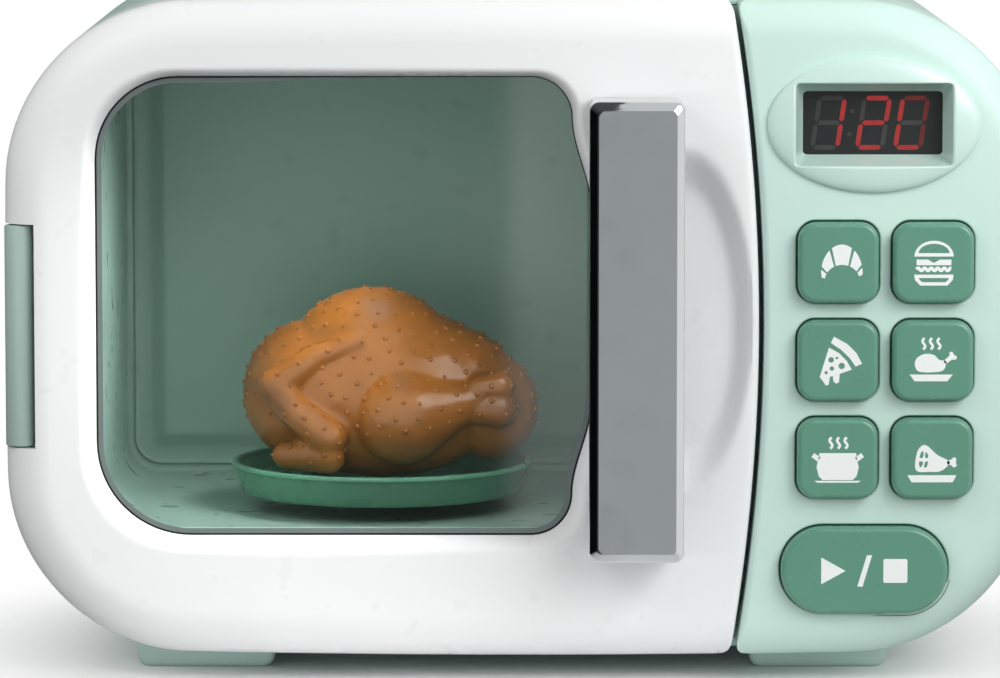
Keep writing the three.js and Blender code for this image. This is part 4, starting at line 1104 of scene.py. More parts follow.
def ham_dish():
    ham = [
        (-4.3, -3.0), (-4.2, 1.4), (-2.8, 3.6), (-1.2, 3.4), (1.2, 1.2), (4.2, -0.4), (4.4, -1.4), (2.2, -3.2),
        (-0.5, -3.4),
    ]
    bone = [
        (4.0, -0.5), (5.0, -0.1), (5.6, 0.5), (6.3, 0.1), (6.2, -0.8), (6.4, -1.8), (5.6, -2.2), (4.9, -1.6),
        (4.0, -1.4),
    ]
    marks = (
        [(-3.4, 0.4), (-2.9, 2.0), (-2.4, 1.8), (-2.5, 0.5)],
        [(-1.9, 0.4), (-1.8, 1.9), (-1.2, 1.2), (-1.2, 0.4)],
        [(-3.5, -0.7), (-2.5, -0.8), (-2.9, -2.1), (-3.4, -2.0)],
        [(-1.9, -0.8), (-1.2, -0.7), (-1.5, -2.1), (-2.2, -2.2)],
    )
    plate = [(-6.6, -4.3), (6.4, -4.3), (5.4, -6.2), (-5.5, -6.2)]
    return [[curved(ham), *(curved(mark, 3) for mark in marks)], [curved(bone)], [plate]]


def start_stop():
    """Play triangle, slash and stop square."""
    play = [(-11.5, -3.6), (-11.5, 3.6), (-5.0, 0)]
    slash = [(-1.9, -4.2), (-0.5, -4.2), (2.0, 4.2), (0.6, 4.2)]
    return [[play], [slash], [rounded_outline(8.2, 0, 6.4, 6.4, 0.5, 3)]]


PICTURES = (croissant, burger, pizza, roast_dish, pot, ham_dish, start_stop)
PRINT_PROUD, PRINT_SUNK = 0.05, 0.02


def printed(bm, shapes, x, z, face_y):
    """Thin prints on a face that looks to the front."""
    for outlines in shapes:
        rings = []
        for outline in outlines:
            ring = [bm.verts.new((x + px, face_y - PRINT_PROUD, z + pz)) for px, pz in outline]
            for a, b in zip(ring, ring[1:] + ring[:1]):
                bm.edges.new((a, b))
            rings.append(ring)
        faces = [item for item in cap(bm, *rings) if isinstance(item, bmesh.types.BMFace)]
        made = bmesh.ops.extrude_face_region(bm, geom=faces, use_keep_orig=True)["geom"]
        moved = [item for item in made if isinstance(item, bmesh.types.BMVert)]
        bmesh.ops.translate(bm, verts=moved, vec=(0, PRINT_PROUD + PRINT_SUNK, 0))


def print_piece(name, shapes, node, body, look):
    """Piece that is printed on the front of a node, around its middle."""
    bm = bmesh.new()
    printed(bm, shapes, *middle(node), node_box(node)[0].y)
    new_piece(name, bm, body, look, smooth=False)


class TOY_OT_icons(bpy.types.Operator):
    """Prints a simple picture on each key"""

    bl_idname = "toy.icons"
    bl_label = "Icons"

    def execute(self, context):
        for node, picture in zip(KEYS, PICTURES):
            print_piece(f"{node}_icon", picture(), node, node, "icon_print")
        return {"FINISHED"}


BEZEL_POINTS = 240
BEZEL_RINGS = 21
BEZEL_LIP = 0.7
SIGHT_LIP = 0.35  # the bezel ends just in front of the display
SIGHT_SPREAD = 1.03, 1.05


def scaled_outline(points, centre, wide, high):
    """The outline scaled about a centre by one share across and one upward."""
    return [(centre[0] + (x - centre[0]) * wide, centre[1] + (z - centre[1]) * high) for x, z in points]


class TOY_OT_bezel(bpy.types.Operator):
    """Builds the domed oval with its rectangular recess"""

    bl_idname = "toy.bezel"
    bl_label = "Display bezel"

    def execute(self, context):
        x, z = middle("display_bezel")
        front = node_box("control_panel")[0].y
        oval = [(x + BEZEL_HALF_WIDTH * px, z + BEZEL_HALF_HEIGHT * pz) for px, pz in circle(1, 720)]
        oval = even_outline(oval, BEZEL_POINTS)
        mouth = even_outline(rounded_outline(x, z, RECESS_WIDTH, RECESS_HEIGHT, RECESS_CORNER, 6), 960)
        hits = ray_hits((x, z), oval, mouth)

        def domed(px, pz):
            """The point on the dome in front of a place."""
            share = min(1.0, ((px - x) / BEZEL_HALF_WIDTH) ** 2 + ((pz - z) / BEZEL_HALF_HEIGHT) ** 2)
            return px, front - BEZEL_DOME * sqrt(1 - share) ** 0.62, pz

        rings = stepped(oval, (0, front + 0.3), (0, front))
        for number in range(1, BEZEL_RINGS + 1):
            share = (number / BEZEL_RINGS) ** 1.7
            ring = []
            for (px, pz), (qx, qz) in zip(oval, hits):
                span = hypot(qx - px, qz - pz)
                reach = (span - BEZEL_LIP) * share / span
                ring.append(domed(px + (qx - px) * reach, pz + (qz - pz) * reach))
            rings.append(ring)
        rim = rings[-1]
        rim_outline = [(px, pz) for px, _, pz in rim]
        for left, drop in quarter_steps(1, 5)[1:]:
            ring = drawn_to(rim_outline, hits, 1 - left)
            rings.append([(px, ry + BEZEL_LIP * drop, pz) for (px, pz), (_, ry, _) in zip(ring, rim)])
        face = node_box("display_module")[0].y
        sight = scaled_outline(hits, (x, z), SIGHT_WIDTH / RECESS_WIDTH, SIGHT_HEIGHT / RECESS_HEIGHT)
        rings.append(at_depth(sight, face - SIGHT_LIP))
        rings.append(at_depth(scaled_outline(sight, (x, z), *SIGHT_SPREAD), face - 0.3))
        bm = bmesh.new()
        loft(bm, rings)
        new_piece("bezel_oval", bm, "cabinet", "bezel_plastic", "display_bezel")
        return {"FINISHED"}


DIGIT_HEIGHT = 13.1
DIGIT_WIDTH = 6.6
DIGIT_SLANT = 0.15
SEGMENT = 1.25
SEGMENT_GAP = 0.25
DIGIT_PLACES = (-11.7, 0.2, 10.3)
DIGITS = ("1", "2", "0")
LIT_SEGMENTS = {"1": "bc", "2": "abged", "0": "abcdef"}
DIM_SEGMENTS = ((2, "a"), (2, "b"), (2, "c"))
FLAT_SEGMENTS = {"a": 1, "g": 0, "d": -1}  # height as a share of half the digit
UPRIGHT_SEGMENTS = {"b": (1, 1), "c": (1, -1), "e": (-1, -1), "f": (-1, 1)}  # side and half
DOT_HEIGHT, DOT_RADIUS = 3, 0.6


def bar(start, end):
    """Pointed bar along the first axis from start to end."""
    half = SEGMENT / 2
    return [(start, 0), (start + half, half), (end - half, half), (end, 0), (end - half, -half), (start + half, -half)]


def segment_outline(name):
    """One bar of a seven segment digit around its middle."""
    half_w, half_h = DIGIT_WIDTH / 2, DIGIT_HEIGHT / 2
    if name in FLAT_SEGMENTS:
        reach = half_w - SEGMENT_GAP
        points = [(x, half_h * FLAT_SEGMENTS[name] + z) for x, z in bar(-reach, reach)]
    else:
        side, half = UPRIGHT_SEGMENTS[name]
        points = [(half_w * side + x, half * z) for z, x in bar(SEGMENT_GAP, half_h - SEGMENT_GAP)]
    return [(x + DIGIT_SLANT * z, z) for x, z in points]


class TOY_OT_display(bpy.types.Operator):
    """Builds the display face with lit, dim and dark segments"""

    bl_idname = "toy.display"
    bl_label = "Display"

    def execute(self, context):
        node = "display_module"
        low, high = node_box(node)
        face = rounded_outline(*middle(node), *face_size(node), 0.6, 4)
        ring_piece("display_face", rolled_rings(face, low.y, high.y, 0.3, 3), "cabinet", "display_face", node)
        dots_x = (DIGIT_PLACES[0] + DIGIT_PLACES[1]) / 2
        dots = [[disc(dots_x + side * 0.4, side * DOT_HEIGHT, DOT_RADIUS)] for side in (-1, 1)]
        groups = {"lit_digit": [], "dim_digit": [], "ghost_segment": dots}
        for place, (shift, digit) in enumerate(zip(DIGIT_PLACES, DIGITS)):
            for name in "abcdefg":
                look = "dim_digit" if (place, name) in DIM_SEGMENTS else "lit_digit"
                if name not in LIT_SEGMENTS[digit]:
                    look = "ghost_segment"
                groups[look].append([[(x + shift, z) for x, z in segment_outline(name)]])
        for look, shapes in groups.items():
            print_piece(f"{look}s", shapes, node, "cabinet", look)
        return {"FINISHED"}


# Handle, hinge and feet

HANDLE_CORNER = 2.5
HANDLE_SIDE, HANDLE_END, HANDLE_RISE = 2.1, 2.5, 1.0  # the slopes at the sides and ends, and how high they are
HANDLE_ROOT, HANDLE_BAR = 14, 7  # length of the two roots and thickness of the bar between them
HINGE_RADIUS, HINGE_EASE = 3.9, 0.5
HINGE_WEB = 2.5  # half the width of the web that joins the barrel to the body
# Height over the floor and how far the pad is drawn in there. Its top lies inside the case.
FOOT_SECTIONS = ((11, 0), (3, 0), (1.6, 0.5), (0.5, 1.2), (0, 2.2))


class TOY_OT_handle(bpy.types.Operator):
    """Builds the plated bar with its two roots"""

    bl_idname = "toy.handle"
    bl_label = "Handle"

    def execute(self, context):
        node = "door_handle"
        low, high = node_box(node)
        width, height = face_size(node)

        def ring(share, y):
            """The outline drawn in by a share of the slopes at its sides and ends."""
            inset_x, inset_z = HANDLE_SIDE * share, HANDLE_END * share
            size = width - 2 * inset_x, height - 2 * inset_z
            return at_depth(rounded_outline(*middle(node), *size, HANDLE_CORNER - inset_x / 2, 8), y)

        outline = rounded_outline(*middle(node), width, height, HANDLE_CORNER, 8)
        crest = low.y + HANDLE_RISE
        rings = stepped(outline, (0.5, high.y), (0.15, high.y - 0.1), (0, high.y - 0.6), (0, crest + 0.5))
        rings += [ring(0.03, crest + 0.2), ring(0.09, crest + 0.03)]
        rings += [ring(0.09 + 0.81 * i / 4, crest - (HANDLE_RISE - 0.06) * i / 4) for i in range(1, 5)]
        rings += [ring(0.97, low.y + 0.01), ring(1.04, low.y), ring(1.2, low.y)]
        handle = ring_piece("handle_bar", rings, "door", "chrome_plate", node)
        spare = 10
        carved(handle, cutter_box(
            (low.x - spare, low.y + HANDLE_BAR, low.z + HANDLE_ROOT),
            (high.x + spare, high.y + spare, high.z - HANDLE_ROOT),
        ))
        return {"FINISHED"}


class TOY_OT_hinge(bpy.types.Operator):
    """Builds the mint barrel that the door turns on"""

    bl_idname = "toy.hinge"
    bl_label = "Hinge"

    def execute(self, context):
        low, high = node_box("hinge_knuckle")
        x, y = low.x + HINGE_RADIUS, low.y + HINGE_RADIUS
        insets = ((HINGE_EASE, 0), (0.15, 0.15), (0, HINGE_EASE))
        profile = [(HINGE_RADIUS - inset, low.z + rise) for inset, rise in insets]
        profile += [(HINGE_RADIUS - inset, high.z - rise) for inset, rise in reversed(insets)]
        bm = bmesh.new()
        solid_rings(bm, turned_rings(profile, 72))
        bmesh.ops.translate(bm, verts=bm.verts, vec=(x, y, 0))
        block(bm, (x - HINGE_WEB, y, low.z + HINGE_EASE), (x + HINGE_WEB, high.y, high.z - HINGE_EASE), 0.3)
        # the barrel takes the mint with its painted shade
        new_piece("hinge_barrel", bm, "cabinet", "hinge_plastic", "hinge_knuckle")
        return {"FINISHED"}


class TOY_OT_feet(bpy.types.Operator):
    """Builds the four feet as rounded pads"""

    bl_idname = "toy.feet"
    bl_label = "Feet"

    def execute(self, context):
        for node in ("foot_front_left", "foot_front_right", "foot_rear_left", "foot_rear_right"):
            low, high = node_box(node)
            x, y = (low.x + high.x) / 2, (low.y + high.y) / 2
            rings = []
            for height, inset in FOOT_SECTIONS:
                pad = rounded_outline(x, y, high.x - low.x - 2 * inset, high.y - low.y - 2 * inset, 2.4, 6)
                rings.append([(px, py, low.z + height) for px, py in pad])
            ring_piece(f"{node}_pad", rings, "cabinet", "mint_plastic", node)
        return {"FINISHED"}


# Case and rear


class TOY_OT_case(bpy.types.Operator):
    """Builds the mint case as a smooth hollow sleeve"""

    bl_idname = "toy.case"
    bl_label = "Case"

    def execute(self, context):
        low, high = node_box("outer_case")
        ease, eased = 0.5, 0.15
        length = high.y - low.y - 2 * ease
        sides = [(0, low.y + ease + length * i / 8) for i in range(9)]
        rings = stepped(body_outline(), *sides, (eased, high.y - eased), (ease, high.y))
        rings += stepped(body_outline(WALL), (0, high.y), (0, low.y))
        rings += stepped(body_outline(), (ease, low.y), (eased, low.y + eased))
        ring_piece("case_sleeve", rings, "cabinet", "mint_plastic", "outer_case", closed=True)
        return {"FINISHED"}


SCREW_HEAD_RISE = 1.6
SCREW_HOLE = 1.5
SLOT_LENGTH, SLOT_WIDTH, SLOT_STEP = 26, 2.4, 6
REAR_ROLL, REAR_LIP, REAR_SUNK = 2, 0.4, 0.6


def stepped_hole(outlines, depths, face, lip):
    """Rings of a stepped hole in a face that looks to the back: outlines at their depths, the first with a lip."""
    rings = lip_rings(outlines[0], face, lip, 3, -1)
    for outline, (start, end) in zip(outlines, depths):
        rings += stepped(outline, (0, start), (0, end))
    return rings


def screw_hole(screw, x, wide, face, bottom, sunk, lip):
    """Rings of a hole that holds the head of a screw and lets its shank through."""
    z = middle(screw)[1]
    seat = node_box(screw)[1].y - SCREW_HEAD_RISE
    outlines = disc(x, z, wide, 32), disc(x, z, SCREW_HOLE, 32)
    return stepped_hole(outlines, [(face - sunk, seat), (seat, bottom)], face, lip)


class TOY_OT_rear_cover(bpy.types.Operator):
    """Builds the rear cover with its speaker slots, battery seat and sunk screw holes"""

    bl_idname = "toy.rear_cover"
    bl_label = "Rear cover"

    def execute(self, context):
        low, high = node_box("rear_cover")
        bm = bmesh.new()
        front, back = loft(bm, rolled_rings(body_outline(), high.y, low.y, REAR_ROLL, 6))
        x, z = middle("speaker")
        holes = []
        for i in range(-2, 3):
            slot = rounded_outline(x, z + SLOT_STEP * i, SLOT_LENGTH * (1 - abs(i) / 10), SLOT_WIDTH, 1.19, 5)
            holes.append(stepped_hole([slot], [(high.y - 0.5, low.y)], high.y, REAR_LIP))
        x, z = middle("battery_door")
        seat, bay = (
            rounded_outline(x, z, *(side + room for side in face_size(node)), radius, 6)
            for node, room, radius in (("battery_door", 0.8, 2), ("battery_box", -3.6, 1))
        )
        ledge = node_box("battery_door")[0].y - 0.3
        holes.append(stepped_hole([seat, bay], [(high.y - REAR_SUNK, ledge), (ledge, low.y)], high.y, REAR_LIP))
        for number in range(1, 5):
            screw = f"rear_screw_{number}"
            holes.append(screw_hole(screw, middle(screw)[0], 3.2, high.y, low.y, REAR_SUNK, REAR_LIP))
        mouths = [loft(bm, hole) for hole in holes]
        cap(bm, back, *[mouth[0] for mouth in mouths])
        cap(bm, front, *[mouth[1] for mouth in mouths])
        new_piece("rear_plate", bm, "cabinet", "mint_plastic", "rear_cover")
        return {"FINISHED"}


GROOVES, GROOVE_START, GROOVE_STEP = 5, 12, 2.6
GROOVE_HALF_LENGTH, GROOVE_HALF_WIDTH, GROOVE_DEPTH = 11, 0.6, 0.6


class TOY_OT_battery_lid(bpy.types.Operator):
    """Builds the battery lid with its screw hole and grip grooves"""

    bl_idname = "toy.battery_lid"
    bl_label = "Battery lid"

    def execute(self, context):
        node, screw = "battery_door", "battery_door_screw"
        low, high = node_box(node)
        x, z = middle(node)
        bm = bmesh.new()
        front, back = loft(bm, rolled_rings(rounded_outline(x, z, *face_size(node), 2, 8), high.y, low.y, 0.6, 5))
        mouth, bottom = loft(bm, screw_hole(screw, x, 3.1, high.y, low.y, 0.5, 0.3))
        cap(bm, back, mouth)
        cap(bm, front, bottom)
        lid = new_piece("battery_lid", bm, "battery_lid", "mint_plastic", node)
        away = -1 if middle(screw)[1] > z else 1
        grooves = []
        for i in range(GROOVES):
            groove_z = z + away * (GROOVE_START + GROOVE_STEP * i)
            grooves.append(cutter_box(
                (x - GROOVE_HALF_LENGTH, high.y - GROOVE_DEPTH, groove_z - GROOVE_HALF_WIDTH),
                (x + GROOVE_HALF_LENGTH, high.y + 1, groove_z + GROOVE_HALF_WIDTH),
            ))
        carved(lid, *grooves)
        return {"FINISHED"}


# Screws that can be seen, by the body that they ride on
SCREWS = {
    "cabinet": ("rear_screw_1", "rear_screw_2", "rear_screw_3", "rear_screw_4"),
    "battery_lid": ("battery_door_screw",),
    "door": ("door_screw_1", "door_screw_2", "door_screw_3", "door_screw_4"),
}
SCREW_HEAD, SCREW_SHANK = 2.8, 1.3
# Head from its edge to its middle: radius as a share of the head's, and how far below its top
HEAD_STEPS = ((1, 1.6), (1, 1.12), (0.9, 0.48), (0.6, 0.12), (0.3, 0))
CROSS_LENGTH, CROSS_WIDTH, CROSS_DEPTH = 1.5, 0.35, 0.9  # half the length and half the width


class TOY_OT_screws(bpy.types.Operator):
    """Builds the cross-recessed screws that can be seen"""

    bl_idname = "toy.screws"
    bl_label = "Screws"

    def execute(self, context):
        for body, nodes in SCREWS.items():
            for node in nodes:
                low, high = node_box(node)
                x, z = middle(node)
                profile = [(0.3, low.y), (SCREW_SHANK, low.y + 1.2), (SCREW_SHANK, high.y - SCREW_HEAD_RISE)]
                profile += [(SCREW_HEAD * share, high.y - drop) for share, drop in HEAD_STEPS]
                rings = [at_depth(disc(x, z, radius, 32), y) for radius, y in profile]
                piece = ring_piece(f"{node}_cross", rings, body, "bright_steel", node)
                carved(piece, *(
                    cutter_box((x - across, high.y - CROSS_DEPTH, z - along), (x + across, high.y + 1, z + along))
                    for across, along in ((CROSS_LENGTH, CROSS_WIDTH), (CROSS_WIDTH, CROSS_LENGTH))
                ))
        return {"FINISHED"}


# Oven, pane and door frame

LINER_FLANGE, LINER_WALL, LINER_CORNER, LINER_LIP = 5, 2, 10, 1.6
LINER_INNERMOST = 14  # how far the innermost ring of the back wall is drawn in
# Relief of the back wall: how far it is drawn in from the side walls, and how far it stands forward there
BACK_RELIEF = (
    (0.2, 0.8), (0.7, 0.25), (1.5, 0), (2.0, 0), (2.2, 0.35), (2.6, 0.62), (3.0, 0.4), (3.3, 0.1), (3.6, 0), (7.0, 0),
    (7.6, 0.15), (9.2, 1.05), (10.8, 1.95), (11.4, 2.1), (12.6, 2.1), (LINER_INNERMOST, 2.1),
)


class TOY_OT_liner(bpy.types.Operator):
    """Builds the oven liner with its rolled mouth and the raised panel of its back wall"""

    bl_idname = "toy.liner"
    bl_label = "Oven liner"

    def execute(self, context):
        node = "oven_liner"
        low, high = node_box(node)
        x, z = middle(node)
        width, height = (side - 2 * LINER_FLANGE - 2 * LINER_WALL for side in face_size(node))
        back = high.y - LINER_WALL
        outside = LINER_WALL + LINER_FLANGE

        def rings_of(steps):
            """One ring for each (distance that the inner side grows by, depth)."""
            rings = []
            for grow, y in steps:
                corner = LINER_CORNER + max(grow, -8)
                rings.append(at_depth(rounded_outline(x, z, width + 2 * grow, height + 2 * grow, corner, 14), y))
            return rings

        rings = rings_of((
            (-LINER_INNERMOST, high.y), (LINER_WALL - 3, high.y), (LINER_WALL - 1, high.y - 0.6),
            (LINER_WALL, high.y - 2), (LINER_WALL, low.y + 1.5), (outside, low.y + 1.5), (outside, low.y + 0.4),
            (outside - 0.4, low.y),
        ))
        rings += rings_of((grow, low.y + drop) for grow, drop in quarter_steps(LINER_LIP, 5))
        straight = back - low.y - LINER_LIP - 1.5
        rings += rings_of((0, low.y + LINER_LIP + straight * i / 6) for i in range(1, 7))
        rings += rings_of((-inset, back - rise) for inset, rise in BACK_RELIEF)
        ring_piece("oven_inside", rings, "cabinet", "liner_plastic", node)
        return {"FINISHED"}


def corner_weight(x, z, centre):
    """1 at the left and below the window's middle, 0 at the right and above, with a soft change."""
    angle = atan2(z - centre[1], x - centre[0])
    return min(1.0, max(0.0, 0.35 - 1.3 * cos(angle), 0.2 - 1.6 * sin(angle)))


class TOY_OT_pane(bpy.types.Operator):
    """Builds the smoky pane and the dark seal round it"""

    bl_idname = "toy.pane"
    bl_label = "Pane"

    def execute(self, context):
        node = "window_pane"
        low, high = node_box(node)
        ease = 0.3
        edge = window_outline(PANE_LAP - 0.1, 360)
        rings = stepped(edge, (ease, high.y), (0, high.y - ease), (0, low.y + ease), (ease, low.y))
        ring_piece("smoky_window", rings, "door", "smoky_pane", node)
        window = window_outline()
        weights = [corner_weight(x, z, middle(node)) for x, z in window]
        normals = [(gx - x, gz - z) for (x, z), (gx, gz) in zip(window, grown_outline(window, 1))]

        def inset_ring(insets, y):
            return [(x - nx * inset, y, z - nz * inset) for (x, z), (nx, nz), inset in zip(window, normals, insets)]

        rim = [-0.4] * len(window)
        line = [0.28 + 0.22 * weight for weight in weights]
        chamfer = [first + 0.05 + 1.25 * weight for first, weight in zip(line, weights)]
        back, front = low.y - 0.02, low.y - 0.2
        for name, look, inner, outer in (
            ("seal_line", "seal_rubber", line, rim), ("pane_chamfer", "pane_edge", chamfer, line),
        ):
            corners = ((outer, back), (outer, front), (inner, front), (inner, back))
            rings = [inset_ring(insets, y) for insets, y in corners]
            ring_piece(name, rings, "door", look, closed=True)
        return {"FINISHED"}


FRAME_THICKNESS = 3
FRAME_RIB = 3
FRAME_NOTCH_SIDE, FRAME_NOTCH_END = 3.2, 8.3  # room beside and at the ends of the hinge knuckle


class TOY_OT_door_frame(bpy.types.Operator):
    """Builds the inner frame that closes the back of the door"""

    bl_idname = "toy.door_frame"
    bl_label = "Door frame"

    def execute(self, context):
        low, high = node_box("door_frame")
        outline = front_outline(-1, 480, WALL + 0.3)
        mouth, rib = (
            ray_hits(middle("window_pane"), outline, window_outline(grow, WINDOW_POINTS)) for grow in (0, FRAME_RIB)
        )
        ease, inner_face = 0.6, high.y - FRAME_THICKNESS
        rings = stepped(outline, (0, inner_face), (0, high.y - ease), (0.2, high.y - 0.2), (ease, high.y))
        rings += stepped(mouth, (-1.2, high.y), (-0.35, high.y - 0.3), (0, high.y - 1.2), (0, low.y))
        rings += stepped(rib, (0, low.y), (0, inner_face))
        inner = ring_piece("door_inner", rings, "door", "white_plastic", "door_frame", closed=True)
        carved(inner, hinge_notch("door_frame", FRAME_NOTCH_SIDE, FRAME_NOTCH_END))
        return {"FINISHED"}


# Turntable plate and roast chicken

RIM_HEIGHT, RIM_WIDTH, RIM_DRAFT = 7.3, 2.4, 2.5
PLATE_FLOOR = 2
PLATE_UNDER = -1.4
HUB_RADIUS, SOCKET_RADIUS, BORE_RADIUS = 9, 5.8, 0.3
PLATE_DROP = 6.3  # from the top of the node to the level that the heights are counted from


def plate_profile(edge, hub_base):
    """Half section of the plate as (radius, height), from the socket of its hub round to its middle."""
    foot = edge - RIM_DRAFT
    inner = edge - RIM_WIDTH
    under = PLATE_UNDER
    profile = [
        (BORE_RADIUS, 0), (SOCKET_RADIUS, 0), (SOCKET_RADIUS, hub_base), (HUB_RADIUS - 0.4, hub_base),
        (HUB_RADIUS, hub_base + 0.4), (HUB_RADIUS, under - 0.9), (HUB_RADIUS + 0.3, under - 0.3),
        (HUB_RADIUS + 1, under), (foot - 1.8, under), (foot - 0.9, under + 0.15), (foot - 0.35, under + 0.6), (foot, 0),
    ]
    profile += [(foot + RIM_DRAFT * share, RIM_HEIGHT * share) for share in (0.35, 0.5, 0.65, 0.8)]
    roll = RIM_WIDTH / 2 - 0.1
    profile += arc_points(edge - roll, RIM_HEIGHT - roll, roll, 0, pi, 12)
    wall = RIM_HEIGHT - PLATE_FLOOR - 2.4
    profile += [(inner - RIM_DRAFT * share, RIM_HEIGHT - 1.4 - wall * share) for share in (0.2, 0.4, 0.6, 0.8)]
    foot -= RIM_WIDTH
    ridge = PLATE_FLOOR + 0.3
    return profile + [
        (foot, PLATE_FLOOR + 0.7), (foot - 0.7, PLATE_FLOOR + 0.2), (foot - 1.6, PLATE_FLOOR), (24.6, PLATE_FLOOR),
        (24.2, ridge), (23.6, ridge), (23.2, PLATE_FLOOR), (BORE_RADIUS, PLATE_FLOOR),
    ]


class TOY_OT_plate(bpy.types.Operator):
    """Turns the deep plate with its rolled rim and the hub under it"""

    bl_idname = "toy.plate"
    bl_label = "Plate"

    def execute(self, context):
        low, high = node_box("turntable_plate")
        centre = (low + high) / 2
        bottom = high.z - PLATE_DROP
        bm = bmesh.new()
        solid_rings(bm, turned_rings(plate_profile(high.x - centre.x, low.z - bottom), 128))
        bmesh.ops.translate(bm, vec=(centre.x, centre.y, bottom), verts=bm.verts)
        new_piece("plate_dish", bm, "plate", "plate_plastic", "turntable_plate")
        return {"FINISHED"}


# Places and radii on the chicken as shares of its length, width and height: x, y, z, radius over the height.
# The limbs are chains of such balls, and each is there at both sides.
CHICKEN_LOBES = (
    ((-0.03, 0, 0.45), (0.45, 0.36, 0.45)),
    ((-0.06, 0, 0.62), (0.29, 0.30, 0.38)),
    ((-0.28, 0, 0.45), (0.22, 0.29, 0.375)),
    ((0.17, 0, 0.45), (0.27, 0.29, 0.36)),
    ((0.34, 0, 0.37), (0.16, 0.25, 0.28)),
)
CHICKEN_LIMBS = (
    ((-0.10, 0.265, 0.745, 0.045), (-0.25, 0.27, 0.665, 0.065), (-0.385, 0.265, 0.51, 0.095)),
    ((-0.385, 0.265, 0.51, 0.095), (-0.31, 0.31, 0.37, 0.085), (-0.205, 0.345, 0.25, 0.10)),
    ((-0.35, 0.275, 0.15, 0.07), (-0.205, 0.34, 0.15, 0.09)),
    ((0.044, 0.27, 0.352, 0.25), (0.15, 0.27, 0.39, 0.165), (0.27, 0.27, 0.43, 0.09)),
    ((0.30, 0.275, 0.50, 0.07), (0.37, 0.26, 0.51, 0.08)),
    ((0.30, 0.275, 0.39, 0.08), (0.37, 0.26, 0.385, 0.09)),
)
BALLS_PER_LIMB = 7
SKIN_GRAIN = 0.8 * MM  # size of the cells that the skin is melted from
BUMP_DISTANCE = 4 * MM
BUMP_SEED = 7


def chicken_balls(length, width, height):
    """Centre and half sizes of every ball that the chicken is made of, in millimetres over its lowest point."""
    balls = [(Vector((x * length, y * width, z * height)), Vector((rx * length, ry * width, rz * height)))
             for (x, y, z), (rx, ry, rz) in CHICKEN_LOBES]
    for side in (-1, 1):
        for chain in CHICKEN_LIMBS:
            for start, end in zip(chain, chain[1:]):
                for i in range(BALLS_PER_LIMB):
                    x, y, z, radius = (a + (b - a) * i / (BALLS_PER_LIMB - 1) for a, b in zip(start, end))
                    ball = Vector((x * length, side * y * width, z * height))
                    balls.append((ball, Vector((1, 1, 1)) * radius * height))
    return balls


def skin_spots(mesh, count, apart):
    """Places and normals spread over a skin, never closer than a distance, the same in each run."""
    order = random.Random(BUMP_SEED)
    faces = list(mesh.polygons)
    order.shuffle(faces)
    chosen = []
    for face in faces:
        if len(chosen) == count:
            break
        if face.normal.z > -0.3 and all((face.center - place).length > apart for place, _ in chosen):
            chosen.append((face.center.copy(), face.normal.copy()))
    return chosen


def add_ball(bm, subdivisions, matrix):
    bmesh.ops.create_icosphere(bm, subdivisions=subdivisions, radius=1, matrix=matrix)


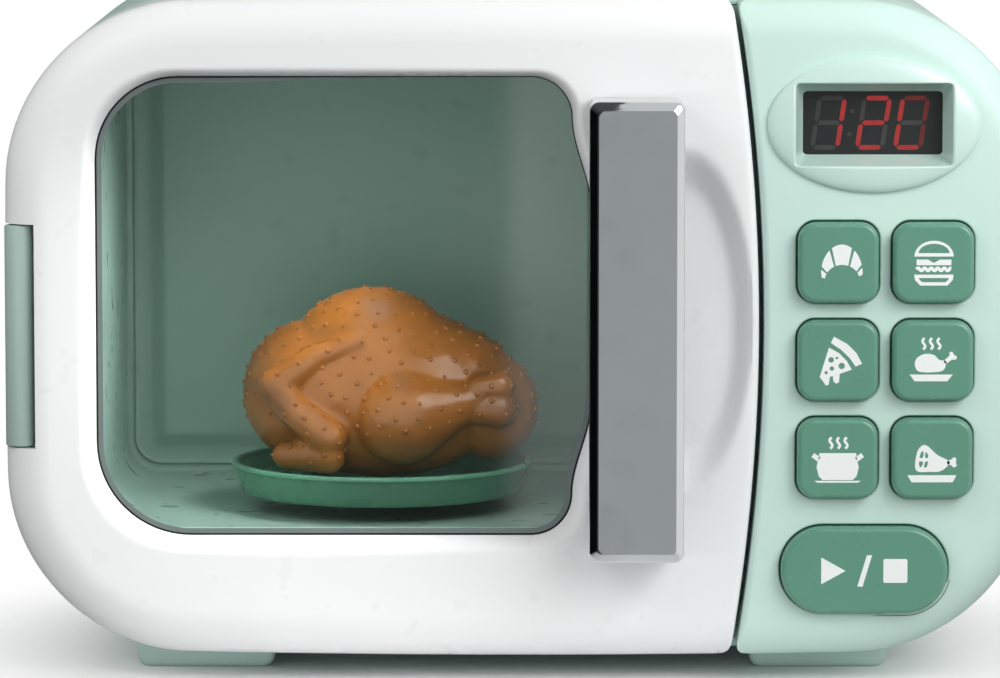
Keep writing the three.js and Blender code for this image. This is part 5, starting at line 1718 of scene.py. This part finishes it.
class TOY_OT_chicken(bpy.types.Operator):
    """Melts the lobes of the chicken into one skin and sets the bumps on it"""

    bl_idname = "toy.chicken"
    bl_label = "Chicken"

    def execute(self, context):
        chosen = settings()
        low, high = node_box("roast_chicken")
        centre = Vector(((low.x + high.x) / 2, (low.y + high.y) / 2, low.z))
        bm = bmesh.new()
        for place, half in chicken_balls(*(high - low)):
            add_ball(bm, 3, Matrix.Translation(centre + place) @ Matrix.Diagonal((*half, 1)))
        skin = new_piece("chicken_skin", bm, "food", "roast_plastic", "roast_chicken")
        merge = skin.modifiers.new("merge", "REMESH")
        merge.mode = "VOXEL"
        merge.voxel_size = SKIN_GRAIN
        soften = skin.modifiers.new("soften", "SMOOTH")
        soften.factor = 0.5
        soften.iterations = 5
        applied(skin)
        bm = bmesh.new()
        for place, normal in skin_spots(skin.data, chosen.bump_count, BUMP_DISTANCE):
            turned = normal.to_track_quat("Z", "Y").to_matrix().to_4x4()
            width = (0.5 + 0.3 * abs(sin(place.x * 9000 + place.z * 5000))) * MM
            stretch = Matrix.Diagonal((width, width, chosen.bump_height, 1))
            add_ball(bm, 2, Matrix.Translation(place) @ turned @ stretch)
        bm.from_mesh(skin.data)
        bmesh.ops.bisect_plane(
            bm, geom=[*bm.verts, *bm.edges, *bm.faces], plane_co=(0, 0, low.z * MM), plane_no=(0, 0, -1),
            clear_outer=True,
        )
        rim = [edge for edge in bm.edges if edge.is_boundary]
        bmesh.ops.triangle_fill(bm, edges=rim, use_beauty=True, use_dissolve=False)
        bmesh.ops.recalc_face_normals(bm, faces=bm.faces)
        for face in bm.faces:
            face.smooth = True
        bm.to_mesh(skin.data)
        bm.free()
        return {"FINISHED"}


class TOY_OT_inner_nodes(bpy.types.Operator):
    """Paints every frame node with the material of its slot"""

    bl_idname = "toy.inner_nodes"
    bl_label = "Inner parts"

    def execute(self, context):
        for part in frame["record"]["subparts"]:
            materials = frame["nodes"][part["node"]].data.materials
            materials.clear()
            materials.append(material(part["material_slot"]))
        return {"FINISHED"}


OPERATORS = (
    TOY_OT_materials, TOY_OT_stage, TOY_OT_inner_nodes, TOY_OT_door_shell, TOY_OT_control_panel, TOY_OT_keys,
    TOY_OT_icons, TOY_OT_bezel, TOY_OT_display, TOY_OT_handle, TOY_OT_hinge, TOY_OT_feet, TOY_OT_case,
    TOY_OT_rear_cover, TOY_OT_battery_lid, TOY_OT_screws, TOY_OT_liner, TOY_OT_pane, TOY_OT_door_frame,
    TOY_OT_plate, TOY_OT_chicken,
)


class TOY_PT_panel(bpy.types.Panel):
    """Lists the steps that build the toy"""

    bl_idname = "TOY_PT_panel"
    bl_label = "Toy Microwave"
    bl_space_type = "VIEW_3D"
    bl_region_type = "UI"
    bl_category = "Toy Microwave"

    def draw(self, context):
        for name in MicrowaveSettings.__annotations__:
            self.layout.prop(context.scene.toy_microwave, name)
        for operator in OPERATORS:
            self.layout.operator(operator.bl_idname)


CLASSES = (MicrowaveSettings, *OPERATORS, TOY_PT_panel)


def register():
    for item in CLASSES:
        bpy.utils.register_class(item)
    bpy.types.Scene.toy_microwave = PointerProperty(type=MicrowaveSettings)


def unregister():
    del bpy.types.Scene.toy_microwave
    for item in reversed(CLASSES):
        bpy.utils.unregister_class(item)


def main():
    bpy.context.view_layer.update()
    register()
    for operator in OPERATORS:
        group, name = operator.bl_idname.split(".")
        getattr(getattr(bpy.ops, group), name)()


if __name__ == "__main__":
    main()
